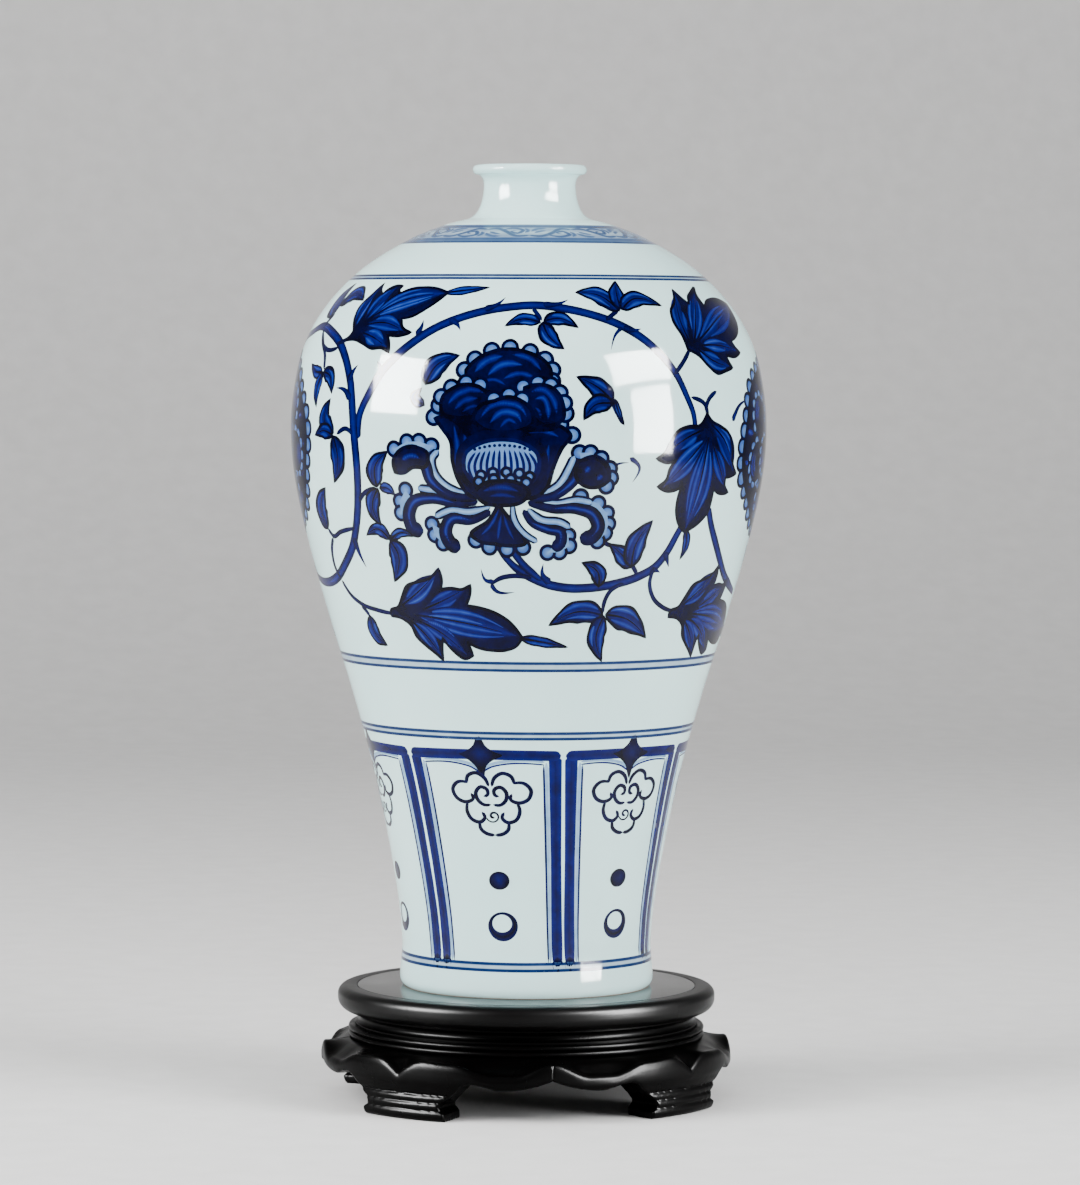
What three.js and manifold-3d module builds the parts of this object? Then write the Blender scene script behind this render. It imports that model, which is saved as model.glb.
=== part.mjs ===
// A blue-and-white porcelain vase of the meiping kind: high round shoulders, a short narrow neck with
// a beaded lip, and a slender foot. It stands on a round blackwood stand with four scroll legs.
// Units are millimetres, +Z is up, and the origin is on the table under the middle of the stand.
import * as THREE from 'three';
import { mergeVertices } from 'three/addons/utils/BufferGeometryUtils.js';
import Module from 'manifold-3d';

const wasm = await Module();
wasm.setup();

// ---- Driving dimensions of the vase, heights counted from its foot ----
const bellyRadius = 92.5;
const bellyHeight = 214;
const ankleRadius = 48.6; // slimmest place, just above the foot
const ankleHeight = 17;
const footRadius = 49.5;
const footHeight = 3.6; // height of the foot's widest line
const footBevel = 2; // how far the foot rounds in to the ring that it stands on
const footRingWidth = 5.5;
const footRecess = 5; // depth of the hollow under the base
const baseThickness = 6;
const wall = 3.8;
const shoulderRise = 85; // from the belly up to the root of the neck
const neckRootRadius = 24;
const neckRadius = 17.8;
const neckRise = 13.5; // from its root to its slimmest place
const lipRadius = 22.2;
const lipBead = 1.9; // radius of the lip's round bead
const lipRise = 7.5; // from the neck's slimmest place to the top of the lip

// ---- Driving dimensions of the stand ----
const discRadius = 73.8;
const rimWidth = 7.6; // of the ring that frames the top board, on top
const rimLedge = 10; // how far the ring reaches in under the board
const rimHeight = 9.6;
const rimRounding = 2.4;
const boardThickness = 6;
const waistSetback = 7.3; // from the disc's edge in to the waist
const waistHeight = 5.2;
const beadSetback = 4.2; // from the disc's edge in to the beads
const beadHeight = 4.8;
const ringWidth = 12.5; // of the waist, and the bead ring's inside lines up with it
const legHeight = 24.1;
const legReach = 6.5; // how far the legs and aprons bulge past the disc
const ridgeSetback = 1.5; // from that bulge in to the carved ridge above it
const ridgeRounding = 2.6; // height of the rounding from the bulge up to the ridge
const beadNosing = 0.6; // how far the beads overhang the legs' flat top
const legThickness = 17;
const flangeThickness = 6.4; // of the flange that the screws go through
const legCount = 4;

// ---- Joinery ----
const glueLine = 0.1;
const dowelRadius = 2;
const dowelLength = 18;
const dowelClearance = 0.15;
const screwRadius = 1.5;
const screwHeadRadius = 3;
const screwHeadDepth = 1.6;
const screwBite = 1.8; // how far it reaches into the rim
const screwPoint = 3;
const screwClearance = 0.15;
const screwSlotWidth = 0.8;
const screwSlotDepth = 0.8;
const screwSpread = 22; // degrees from the leg's middle

// ---- Facets ----
const turnSegments = 48;
const sectorSteps = turnSegments / legCount;
const smallTurnSegments = 12;

// ---- Sizes that follow from those above ----
const neckRootHeight = bellyHeight + shoulderRise;
const neckHeight = neckRootHeight + neckRise;
const vaseHeight = neckHeight + lipRise;
const boardRadius = discRadius - rimWidth;
const waistRadius = discRadius - waistSetback;
const beadRadius = discRadius - beadSetback;
const ringBore = waistRadius - ringWidth;
const bulgeRadius = discRadius + legReach;
const ridgeRadius = bulgeRadius - ridgeSetback;
const legBore = bulgeRadius - legThickness;
const beadBase = legHeight + glueLine;
const waistBase = beadBase + beadHeight + glueLine;
const rimBase = waistBase + waistHeight + glueLine;
const standHeight = rimBase + rimHeight;
const boardBase = standHeight - boardThickness;
const sectorAngle = (2 * Math.PI) / legCount;
const flangeBase = legHeight - flangeThickness;
const screwLength = rimBase + screwBite - flangeBase;
const screwTop = flangeBase + screwLength;
const screwCircle = (ringBore + legBore) / 2;

const lacquer = { roughness: 0.28, metalness: 0 };
const materials = {
  porcelain: { color: 0xe9eef2, roughness: 0.08, metalness: 0 },
  board: { color: 0x1a1312, ...lacquer },
  ring: { color: 0x171111, ...lacquer },
  leg: { color: 0x141010, ...lacquer },
  dowel: { color: 0xb08a5a, roughness: 0.7, metalness: 0 },
  screw: { color: 0xa8a49a, roughness: 0.35, metalness: 0.9 },
};

// ---- Helpers ----
const degrees = THREE.MathUtils.degToRad;

// A closed geometry with only its positions, its shared corners merged.
function welded(geometry) {
  const bare = geometry.index ? geometry.toNonIndexed() : geometry.clone();
  bare.deleteAttribute('normal');
  bare.deleteAttribute('uv');
  return mergeVertices(bare, 1e-3);
}

function toSolid(geometry) {
  const merged = welded(geometry);
  return new wasm.Manifold(
    new wasm.Mesh({
      numProp: 3,
      vertProperties: merged.attributes.position.array,
      triVerts: new Uint32Array(merged.index.array),
    }),
  );
}

function toGeometry(solid) {
  const mesh = solid.getMesh();
  const geometry = new THREE.BufferGeometry();
  geometry.setAttribute('position', new THREE.BufferAttribute(mesh.vertProperties, 3));
  geometry.setIndex(new THREE.BufferAttribute(mesh.triVerts, 1));
  geometry.computeVertexNormals();
  return geometry;
}

// Cuts each of the other geometries from the first one.
function cut(geometry, ...cutters) {
  const rest = cutters.reduce((solid, cutter) => solid.subtract(toSolid(cutter)), toSolid(geometry));
  return toGeometry(rest);
}

// A turned solid from [radius, height] points that run up its outside and back down its inside.
function turned(profile, segments = turnSegments) {
  const points = profile.map(([radius, height]) => new THREE.Vector2(radius, height));
  return new THREE.LatheGeometry(points, segments).rotateX(Math.PI / 2);
}

// A ring sector about Z. sectionAt(angle) gives its section, as [radius, height] points that run
// up the outside and down the inside, always the same number of them.
function sector(sectionAt, start, end, steps) {
  const sections = [];
  for (let i = 0; i <= steps; i += 1) {
    const angle = start + ((end - start) * i) / steps;
    sections.push(sectionAt(angle).map(([radius, height]) =>
      [radius * Math.cos(angle), radius * Math.sin(angle), height]));
  }
  const count = sections[0].length;
  const index = [];
  for (let i = 0; i < steps; i += 1) {
    for (let j = 0; j < count; j += 1) {
      const a = i * count + j;
      const b = i * count + ((j + 1) % count);
      index.push(a, a + count, b + count, a, b + count, b);
    }
  }
  [start, end].forEach((angle, side) => {
    const outline = sectionAt(angle).map(([radius, height]) => new THREE.Vector2(radius, height));
    const first = side * steps * count;
    THREE.ShapeUtils.triangulateShape(outline, []).forEach(([a, b, c]) => {
      index.push(...(side ? [c + first, b + first, a + first] : [a + first, b + first, c + first]));
    });
  });
  const geometry = new THREE.BufferGeometry();
  geometry.setAttribute('position', new THREE.Float32BufferAttribute(sections.flat(2), 3));
  geometry.setIndex(index);
  return geometry.toNonIndexed();
}

// The points of a three.js curve as [x, y] pairs, without its first one.
function along(curve, divisions) {
  return curve.getPoints(divisions).slice(1).map((point) => [point.x, point.y]);
}

function bezier(divisions, ...points) {
  return along(new THREE.CubicBezierCurve(...points.map((point) => new THREE.Vector2(...point))), divisions);
}

// A smooth value through [at, value] knots, flat at each end.
function throughKnots(knots, at) {
  const last = knots.length - 1;
  if (at <= knots[0][0]) return knots[0][1];
  if (at >= knots[last][0]) return knots[last][1];
  const next = knots.findIndex(([place]) => place > at);
  const [from, low] = knots[next - 1];
  const [to, high] = knots[next];
  return THREE.MathUtils.lerp(low, high, THREE.MathUtils.smoothstep(at, from, to));
}

// A named mesh of one piece.
function piece(name, geometry, material) {
  const mesh = new THREE.Mesh(geometry, new THREE.MeshStandardMaterial(materials[material]));
  mesh.name = name;
  return mesh;
}

// ---- Vase ----
// Shares of the way from the ankle to the belly: height, then radius.
const flankShares = [[0, 0], [0.08, 0.033], [0.2, 0.123], [0.34, 0.256], [0.49, 0.44], [0.635, 0.642],
  [0.78, 0.828], [0.905, 0.955], [1, 1]];
// Shares of the way from the belly to the neck's root: height, then the radius still left.
const shoulderShares = [[0.19, 0.989], [0.41, 0.931], [0.59, 0.813], [0.755, 0.622], [0.882, 0.386],
  [0.967, 0.149], [1, 0]];

// The outside from the ankle to the neck's slimmest place.
function bodyOutside() {
  const flank = flankShares.map(([rise, spread]) => new THREE.Vector2(
    THREE.MathUtils.lerp(ankleRadius, bellyRadius, spread),
    THREE.MathUtils.lerp(ankleHeight, bellyHeight, rise),
  ));
  const shoulder = shoulderShares.map(([rise, spread]) => new THREE.Vector2(
    THREE.MathUtils.lerp(neckRootRadius, bellyRadius, spread),
    THREE.MathUtils.lerp(bellyHeight, neckRootHeight, rise),
  ));
  const body = along(new THREE.SplineCurve([...flank, ...shoulder]), 20);
  const neck = bezier(
    5,
    [neckRootRadius, neckRootHeight],
    [neckRootRadius - 4, neckRootHeight + 1.2],
    [neckRadius, neckHeight - neckRise / 2],
    [neckRadius, neckHeight],
  );
  return [[ankleRadius, ankleHeight], ...body, ...neck];
}

// The same line moved in by the wall's thickness, square to the surface.
function insideOf(line) {
  return line.map(([radius, height], i) => {
    const [r0, h0] = line[Math.max(i - 1, 0)];
    const [r1, h1] = line[Math.min(i + 1, line.length - 1)];
    const length = Math.hypot(r1 - r0, h1 - h0);
    return [radius - (wall * (h1 - h0)) / length, height + (wall * (r1 - r0)) / length];
  });
}

function vaseBody() {
  const outside = bodyOutside();
  const floor = footRecess + baseThickness;
  const beadCentre = [lipRadius - lipBead, vaseHeight - lipBead];
  const throat = neckRadius - wall;
  const flare = bezier(
    3,
    [neckRadius, neckHeight],
    [neckRadius, neckHeight + 2],
    [neckRadius + 1.4, beadCentre[1] - lipBead],
    [beadCentre[0], beadCentre[1] - lipBead],
  );
  const bead = [-54, -18, 18, 54, 90].map((turn) => [
    beadCentre[0] + lipBead * Math.cos(degrees(turn)),
    beadCentre[1] + lipBead * Math.sin(degrees(turn)),
  ]);
  const mouth = bezier(
    4,
    [beadCentre[0], vaseHeight],
    [throat + 2.6, vaseHeight],
    [throat, neckHeight + 4.5],
    [throat, neckHeight],
  );
  const fillet = wall + baseThickness;
  const reach = insideOf(outside).filter(([, height]) => height > floor + fillet).reverse();
  const inside = reach.filter((_, i) => i % 2 === 0);
  const [wallRadius] = inside[inside.length - 1];
  const corner = bezier(
    4,
    inside[inside.length - 1],
    [wallRadius, floor + fillet / 3],
    [wallRadius - fillet / 3, floor],
    [wallRadius - fillet, floor],
  );
  const footRingBore = footRadius - footBevel - footRingWidth;
  return turned([
    [0, footRecess],
    [footRingBore - 1, footRecess],
    [footRingBore, footRecess - 1],
    [footRingBore, 0],
    [footRadius - footBevel, 0],
    [footRadius - footBevel / 3, footHeight / 3],
    [footRadius, footHeight],
    ...outside,
    ...flare,
    ...bead,
    ...mouth,
    ...inside.slice(1),
    ...corner,
    [0, floor],
  ]);
}

// ---- Stand: top ----
// A hole for a screw that stands upright from height low to height high, at angle.
function screwHole(angle, low, high) {
  return new THREE.CylinderGeometry(
    screwRadius + screwClearance,
    screwRadius + screwClearance,
    high - low,
    smallTurnSegments,
  )
    .rotateX(Math.PI / 2)
    .translate(screwCircle, 0, (low + high) / 2)
    .rotateZ(angle);
}

// A dowel across the joint at angle, or its hole when the clearance is given.
function dowelAcross(angle, radius, height, clearance = 0) {
  return new THREE.CylinderGeometry(
    dowelRadius + clearance,
    dowelRadius + clearance,
    dowelLength + 2 * clearance,
    smallTurnSegments,
  )
    .translate(radius, 0, height)
    .rotateZ(angle);
}

const legAngles = Array.from({ length: legCount }, (_, i) => (i + 0.5) * sectorAngle);
const jointAngles = Array.from({ length: legCount }, (_, i) => i * sectorAngle);
const screwAngles = legAngles.map((angle) => angle - degrees(screwSpread));

// The top board drops into the rim, with a fine line round it where the two meet.
function topBoard() {
  return turned([
    [0, boardBase],
    [boardRadius - glueLine, boardBase],
    [boardRadius - glueLine, standHeight - 0.5],
    [boardRadius - glueLine - 0.5, standHeight],
    [0, standHeight],
  ]);
}

function rimSection() {
  const centre = [discRadius - rimRounding, rimBase + rimHeight / 2];
  const flat = rimHeight / 2 - rimRounding;
  const edge = [];
  [-90, -45, 0].forEach((turn) => edge.push([
    centre[0] + rimRounding * Math.cos(degrees(turn)),
    centre[1] - flat + rimRounding * Math.sin(degrees(turn)),
  ]));
  [0, 45, 90].forEach((turn) => edge.push([
    centre[0] + rimRounding * Math.cos(degrees(turn)),
    centre[1] + flat + rimRounding * Math.sin(degrees(turn)),
  ]));
  return [
    [boardRadius - rimLedge, rimBase],
    ...edge,
    [boardRadius + 0.5, standHeight],
    [boardRadius, standHeight - 0.5],
    [boardRadius, boardBase - glueLine],
    [boardRadius - rimLedge, boardBase - glueLine],
  ];
}

const rimDowelRadius = boardRadius + rimWidth / 2 - 1;
const rimDowelHeight = rimBase + rimHeight / 2;

// One of the arcs that the rim is built from. Its joints lie over the legs.
function rimArc(legAngle) {
  const screwAngle = legAngle + sectorAngle - degrees(screwSpread);
  const start = legAngle + glueLine / discRadius;
  const end = legAngle + sectorAngle - glueLine / discRadius;
  return cut(
    sector(rimSection, start, end, sectorSteps),
    dowelAcross(legAngle, rimDowelRadius, rimDowelHeight, dowelClearance),
    dowelAcross(legAngle + sectorAngle, rimDowelRadius, rimDowelHeight, dowelClearance),
    screwHole(screwAngle, rimBase - 1, screwTop + screwClearance),
  );
}

// ---- Stand: waist and beads ----
function waistRing() {
  const ring = turned([
    [ringBore, waistBase],
    [waistRadius + 0.6, waistBase],
    [waistRadius, waistBase + 1],
    [waistRadius - 0.8, waistBase + waistHeight / 2],
    [waistRadius, waistBase + waistHeight - 1],
    [waistRadius + 0.6, waistBase + waistHeight],
    [ringBore, waistBase + waistHeight],
    [ringBore, waistBase],
  ]);
  return cut(ring, ...screwAngles.map((angle) => screwHole(angle, waistBase - 1, rimBase + 1)));
}

// Two half-round beads, one over the other.
function beadRing() {
  const beadRound = beadHeight / 4;
  const beads = [];
  [1, 3].forEach((place) => [-90, -30, 30, 90].forEach((turn) => beads.push([
    beadRadius - beadRound + beadRound * Math.cos(degrees(turn)),
    beadBase + place * beadRound + beadRound * Math.sin(degrees(turn)),
  ])));
  beads.splice(3, 1); // the point that both beads share
  const ring = turned([
    [ringBore, beadBase],
    ...beads,
    [ringBore, beadBase + beadHeight],
    [ringBore, beadBase],
  ]);
  return cut(ring, ...screwAngles.map((angle) => screwHole(angle, beadBase - 1, waistBase + 1)));
}

// ---- Stand: legs and aprons ----
// The carved ridge: share of the way from the leg's middle to the apron's, then share of the leg's
// height. It makes a V over the leg, a hanging lobe beside it, and half a cusp at the apron's middle.
const ridgeShares = [[0, 0.75], [0.18, 0.955], [0.38, 0.93], [0.62, 0.77], [0.76, 0.77], [1, 0.97]];
// The opening between two legs: share of the way from the apron's middle to the leg's, then share
// of the leg's height.
const openingShares = [[0, 0.7], [0.09, 0.62], [0.2, 0.555], [0.33, 0.53], [0.44, 0.605], [0.545, 0.615],
  [0.61, 0.48], [0.68, 0.34], [0.72, 0.225], [0.68, 0.125]];
// The leg's outside: share of its height, then how far it stands in from the bulge.
const legOutside = [[0, 4.6], [0.11, 3.2], [0.27, 4], [0.46, 1.6]];

function legSection(angle) {
  const ridge = legHeight * throughKnots(ridgeShares, Math.abs(angle) / (sectorAngle / 2));
  return [
    [legBore, 0],
    ...legOutside.map(([rise, inset]) => [bulgeRadius - inset, legHeight * rise]),
    [bulgeRadius, Math.min(ridge - ridgeRounding, 0.75 * legHeight)],
    [ridgeRadius, ridge],
    [beadRadius - beadNosing, legHeight],
    [ringBore, legHeight],
    [ringBore, flangeBase],
    [legBore, flangeBase],
  ];
}

// The opening's outline wrapped round the stand, cut through along the radius.
function openingCutter(angle) {
  const half = openingShares.map(([turn, rise]) => new THREE.Vector2(
    (turn * sectorAngle) / 2,
    rise * legHeight,
  ));
  const right = new THREE.SplineCurve(half).getPoints(18);
  const left = right.slice(1).map((point) => new THREE.Vector2(-point.x, point.y));
  const foot = half[half.length - 1].x;
  const outline = [new THREE.Vector2(-foot, -1), new THREE.Vector2(foot, -1), ...right.toReversed(), ...left];
  const inner = ringBore - 10;
  const outer = bulgeRadius + 30;
  const geometry = new THREE.ExtrudeGeometry(new THREE.Shape(outline), { depth: outer - inner, bevelEnabled: false });
  const position = geometry.getAttribute('position');
  for (let i = 0; i < position.count; i += 1) {
    const turn = angle + position.getX(i);
    const radius = inner + position.getZ(i);
    position.setXYZ(i, radius * Math.cos(turn), radius * Math.sin(turn), position.getY(i));
  }
  return geometry;
}

const apronDowelRadius = (ringBore + beadRadius) / 2 + 2;
const apronDowelHeight = legHeight - flangeThickness / 2 - 0.2;

// A leg with half an apron on each side, drawn with the leg's middle on +X.
function legBlock() {
  const end = sectorAngle / 2 - glueLine / bulgeRadius;
  const countersink = turned([
    [0, -1],
    [screwHeadRadius + screwClearance, -1],
    [screwHeadRadius + screwClearance, 0],
    [screwRadius + screwClearance, screwHeadDepth],
    [0, screwHeadDepth],
  ], smallTurnSegments)
    .translate(screwCircle, 0, flangeBase)
    .rotateZ(-degrees(screwSpread));
  return cut(
    sector(legSection, -end, end, 2 * sectorSteps),
    openingCutter(sectorAngle / 2),
    openingCutter(-sectorAngle / 2),
    dowelAcross(sectorAngle / 2, apronDowelRadius, apronDowelHeight, dowelClearance),
    dowelAcross(-sectorAngle / 2, apronDowelRadius, apronDowelHeight, dowelClearance),
    screwHole(-degrees(screwSpread), flangeBase - 1, legHeight + 1),
    countersink,
  );
}

// A slotted countersunk wood screw, its head down at height 0.
function woodScrew() {
  const screw = turned([
    [0, 0],
    [screwHeadRadius, 0],
    [screwRadius, screwHeadDepth],
    [screwRadius, screwLength - screwPoint],
    [0, screwLength],
  ], smallTurnSegments);
  const slot = new THREE.BoxGeometry(3 * screwHeadRadius, screwSlotWidth, 2 * screwSlotDepth);
  return cut(screw, slot);
}

// ---- Assembly ----
const group = new THREE.Group();

const stand = new THREE.Group();
stand.add(piece('stand_top_board', topBoard(), 'board'));
stand.add(piece('waist_ring', waistRing(), 'ring'));
stand.add(piece('bead_ring', beadRing(), 'ring'));

const block = legBlock();
const screw = woodScrew();
legAngles.forEach((angle, i) => {
  const number = i + 1;
  stand.add(piece(`rim_arc_${number}`, rimArc(angle), 'ring'));
  stand.add(piece(`rim_dowel_${number}`, dowelAcross(angle, rimDowelRadius, rimDowelHeight), 'dowel'));

  const leg = piece(`scroll_leg_${number}`, block, 'leg');
  leg.rotation.z = angle;
  stand.add(leg);

  const fastener = piece(`leg_screw_${number}`, screw, 'screw');
  fastener.position.set(
    screwCircle * Math.cos(screwAngles[i]),
    screwCircle * Math.sin(screwAngles[i]),
    flangeBase,
  );
  fastener.rotation.z = screwAngles[i];
  stand.add(fastener);
});
jointAngles.forEach((angle, i) => {
  const dowel = dowelAcross(angle, apronDowelRadius, apronDowelHeight);
  stand.add(piece(`apron_dowel_${i + 1}`, dowel, 'dowel'));
});
group.add(stand);

const vase = piece('vase_body', vaseBody(), 'porcelain');
vase.position.z = standHeight;
group.add(vase);

export default group;
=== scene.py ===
"""The looks of a blue-and-white porcelain vase on a blackwood stand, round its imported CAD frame.

The vase is turned, its painting is drawn flat in a chart of the surface and wrapped onto it, and the
stand's pieces are turned or carved. Everything is drawn in millimetres and scaled to metres.
"""

import math

import bpy
import numpy as np
from mathutils import Matrix, Vector
from mathutils.geometry import delaunay_2d_cdt


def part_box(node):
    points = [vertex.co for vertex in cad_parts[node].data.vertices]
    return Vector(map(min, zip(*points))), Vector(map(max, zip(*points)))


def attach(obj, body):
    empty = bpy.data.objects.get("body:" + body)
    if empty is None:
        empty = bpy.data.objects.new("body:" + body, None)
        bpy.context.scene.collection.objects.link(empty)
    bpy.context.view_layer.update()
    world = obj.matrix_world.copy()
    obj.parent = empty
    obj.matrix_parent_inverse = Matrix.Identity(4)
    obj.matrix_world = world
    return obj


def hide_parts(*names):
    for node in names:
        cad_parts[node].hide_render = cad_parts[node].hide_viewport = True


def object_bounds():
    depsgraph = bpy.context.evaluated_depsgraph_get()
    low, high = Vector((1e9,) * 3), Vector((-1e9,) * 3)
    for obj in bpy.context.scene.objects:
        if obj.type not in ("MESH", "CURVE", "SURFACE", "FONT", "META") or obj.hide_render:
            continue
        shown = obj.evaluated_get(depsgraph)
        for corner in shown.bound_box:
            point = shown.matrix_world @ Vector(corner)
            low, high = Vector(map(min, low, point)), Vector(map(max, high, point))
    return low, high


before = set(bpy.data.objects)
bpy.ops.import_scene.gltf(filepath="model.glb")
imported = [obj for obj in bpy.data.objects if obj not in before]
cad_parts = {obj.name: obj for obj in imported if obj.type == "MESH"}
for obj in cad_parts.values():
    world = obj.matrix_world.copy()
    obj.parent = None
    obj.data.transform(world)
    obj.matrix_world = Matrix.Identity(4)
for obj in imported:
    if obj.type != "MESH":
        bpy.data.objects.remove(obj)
cad_low, cad_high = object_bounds()

MM = 0.001
QUARTER = math.pi / 2
FACING = -7.5  # degrees round the object that the camera, and so the chart's zero, stands at
VASE_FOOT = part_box("vase_body")[0].z / MM
TABLE_FLOOR = cad_low.z


# ---- Lines ----
def catmull(points, per_span):
    """A uniform Catmull-Rom line through points, as three.js draws its SplineCurve."""
    p = np.array([points[0], *points, points[-1]], float)
    t = (np.arange(per_span) / per_span)[:, None]
    spans = []
    for a, b, c, d in zip(p, p[1:], p[2:], p[3:]):
        v0, v1 = (c - a) / 2, (d - b) / 2
        cubic = (2 * b - 2 * c + v0 + v1) * t**3 + (3 * c - 3 * b - 2 * v0 - v1) * t**2
        spans.append(cubic + v0 * t + b)
    return np.vstack([*spans, p[-1:]])


def bezier(per_line, a, b, c, d):
    """A cubic Bezier line without its first point."""
    t = (np.arange(1, per_line + 1) / per_line)[:, None]
    a, b, c, d = (np.array(q, float) for q in (a, b, c, d))
    return (1 - t) ** 3 * a + 3 * t * (1 - t) ** 2 * b + 3 * t**2 * (1 - t) * c + t**3 * d


def arc(centre, radius, start, end, steps):
    """Points round a circle's part, from start to end in degrees, both included."""
    turn = np.radians(np.linspace(start, end, steps + 1))
    return np.array(centre) + radius * np.stack([np.cos(turn), np.sin(turn)], 1)


def smooth_line(points, step=0.9):
    """An even line that passes smoothly through unevenly placed points."""
    p = np.array(points, float)
    if len(p) == 2:
        count = max(2, int(math.dist(p[0], p[1]) / step))
        return p[0] + np.linspace(0, 1, count + 1)[:, None] * (p[1] - p[0])
    d = np.maximum(np.hypot(*(p[1:] - p[:-1]).T), 1e-6)[:, None]
    slope = (p[1:] - p[:-1]) / d
    inner = (slope[:-1] * d[1:] + slope[1:] * d[:-1]) / (d[1:] + d[:-1])
    start = 1.5 * slope[0] - 0.5 * inner[0]
    end = 1.5 * slope[-1] - 0.5 * inner[-1]
    tangent = np.vstack([start, inner, end])
    spans = []
    for i, length in enumerate(d[:, 0]):
        count = max(2, int(length / step))
        t = (np.arange(count) / count)[:, None]
        a, b = tangent[i] * length, tangent[i + 1] * length
        rise = 3 * t**2 - 2 * t**3
        bend = (t**3 - 2 * t**2 + t) * a + (t**3 - t**2) * b
        spans.append(p[i] + rise * (p[i + 1] - p[i]) + bend)
    return np.vstack([*spans, p[-1:]])


def along(line):
    """The length run at each point of a line."""
    return np.concatenate([[0], np.cumsum(np.hypot(*np.diff(line, axis=0).T))])


def sideways(line):
    """The unit vector to the left of a line at each of its points."""
    run = np.gradient(line, axis=0)
    run /= np.maximum(np.hypot(*run.T), 1e-9)[:, None]
    return np.stack([-run[:, 1], run[:, 0]], 1)


# ---- Meshes ----
def mesh_object(name, points, faces, *materials, smooth_angle=None):
    """A new object from points in millimetres."""
    mesh = bpy.data.meshes.new(name)
    mesh.from_pydata((np.asarray(points, float) * MM).tolist(), [], faces)
    mesh.shade_smooth()
    if smooth_angle:
        mesh.set_sharp_from_angle(angle=math.radians(smooth_angle))
    for material in materials:
        mesh.materials.append(material)
    piece = bpy.data.objects.new(name, mesh)
    bpy.context.scene.collection.objects.link(piece)
    return piece


def lathe(name, profile, segments, *materials, smooth_angle=None):
    """A turned solid from a closed run of (radius, height) points, up its outside and down its inside."""
    turn = np.linspace(0, 2 * math.pi, segments, endpoint=False)
    points, rings = [], []
    for radius, height in profile:
        around = turn if radius > 1e-6 else turn[:1]
        rings.append(range(len(points), len(points) + len(around)))
        points += [(radius * math.cos(a), radius * math.sin(a), height) for a in around]
    faces = []
    closed = len(rings[0]) > 1
    for low, high in zip(rings, [*rings[1:], rings[0]] if closed else rings[1:]):
        for i in range(segments):
            j = (i + 1) % segments
            corners = [low[i % len(low)], low[j % len(low)], high[j % len(high)], high[i % len(high)]]
            faces.append(list(dict.fromkeys(corners)))
    return mesh_object(name, points, faces, *materials, smooth_angle=smooth_angle)


def sector(name, section_at, start, end, steps, *materials, smooth_angle=None):
    """A part of a ring. section_at(angle) gives its (radius, height) points, and angles are radians."""
    angles = np.linspace(start, end, steps + 1)
    sections = [section_at(a) for a in angles]
    count = len(sections[0])
    points = [
        (r * math.cos(a), r * math.sin(a), h) for a, s in zip(angles, sections) for r, h in s
    ]
    faces = [list(range(count))[::-1], [steps * count + j for j in range(count)]]
    for i in range(steps):
        for j in range(count):
            a, b = i * count + j, i * count + (j + 1) % count
            faces.append([a, b, b + count, a + count])
    return mesh_object(name, points, faces, *materials, smooth_angle=smooth_angle)


def turned_copy(piece, name, degrees):
    """A copy of a piece, turned about the object's axis."""
    mesh = piece.data.copy()
    mesh.transform(Matrix.Rotation(math.radians(degrees), 4, "Z"))
    mesh.update()
    copy = bpy.data.objects.new(name, mesh)
    bpy.context.scene.collection.objects.link(copy)
    return copy


# ---- Materials ----
class Look:
    """A node material put together from noises, a colour ramp, a bump and a roughness."""

    def __init__(self, name, **inputs):
        self.material = bpy.data.materials.new(name)
        self.material.use_nodes = True
        self.tree = self.material.node_tree
        self.shader = self.tree.nodes["Principled BSDF"]
        for key, value in inputs.items():
            self.shader.inputs[key.replace("_", " ")].default_value = value
        self.place = self.add("TexCoord").outputs["Object"]

    def add(self, kind, *links, **settings):
        """A new node with its settings and inputs set, and its links from other nodes."""
        node = self.tree.nodes.new("ShaderNode" + kind)
        for key, value in settings.items():
            if key in node.inputs and not hasattr(node, key):
                node.inputs[key].default_value = value
            else:
                setattr(node, key, value)
        for socket, source in links:
            self.tree.links.new(source, node.inputs[socket])
        return node

    def feed(self, socket, source):
        """Links a source to the shader."""
        self.tree.links.new(source, self.shader.inputs[socket])

    def noise(self, scale, detail, roughness=0.5, stretch=None, turn=0):
        """A noise over the object. stretch scales its axes, after a turn about the upright one."""
        place = self.place
        if stretch:
            lay = self.add("Mapping", ("Vector", place), Rotation=(0, 0, turn), Scale=stretch)
            place = lay.outputs["Vector"]
        noise = self.add("TexNoise", ("Vector", place), Scale=scale, Detail=detail,
                         Roughness=roughness)
        return noise.outputs["Fac"]

    def ranged(self, source, low, high, start=0.0, end=1.0):
        """A source whose run from start to end becomes one from low to high."""
        node = self.add("MapRange", ("Value", source))
        ends = {"From Min": start, "From Max": end, "To Min": low, "To Max": high}
        for key, value in ends.items():
            node.inputs[key].default_value = value
        return node.outputs["Result"]

    def colour(self, source, stops):
        """The base colour: a ramp over a source, from (place, linear colour) stops."""
        node = self.add("ValToRGB", ("Fac", source))
        elements = node.color_ramp.elements
        for place, _ in stops[2:]:
            elements.new(place)
        for element, (place, tint) in zip(elements, stops):
            element.position = place
            element.color = (*tint, 1)
        self.feed("Base Color", node.outputs["Color"])

    def bump(self, height, strength, distance):
        """A relief from a height source."""
        node = self.add("Bump", ("Height", height), Strength=strength, Distance=distance)
        self.feed("Normal", node.outputs["Normal"])


def from_screen(*stops):
    """Ramp stops with linear colours, from (place, red, green, blue) in 0 to 255 screen colours."""
    return [(place, tuple((c / 255) ** 2.2 for c in colour)) for place, *colour in stops]


GLAZE = {"Roughness": 0.075, "Specular_IOR_Level": 0.11}
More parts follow.
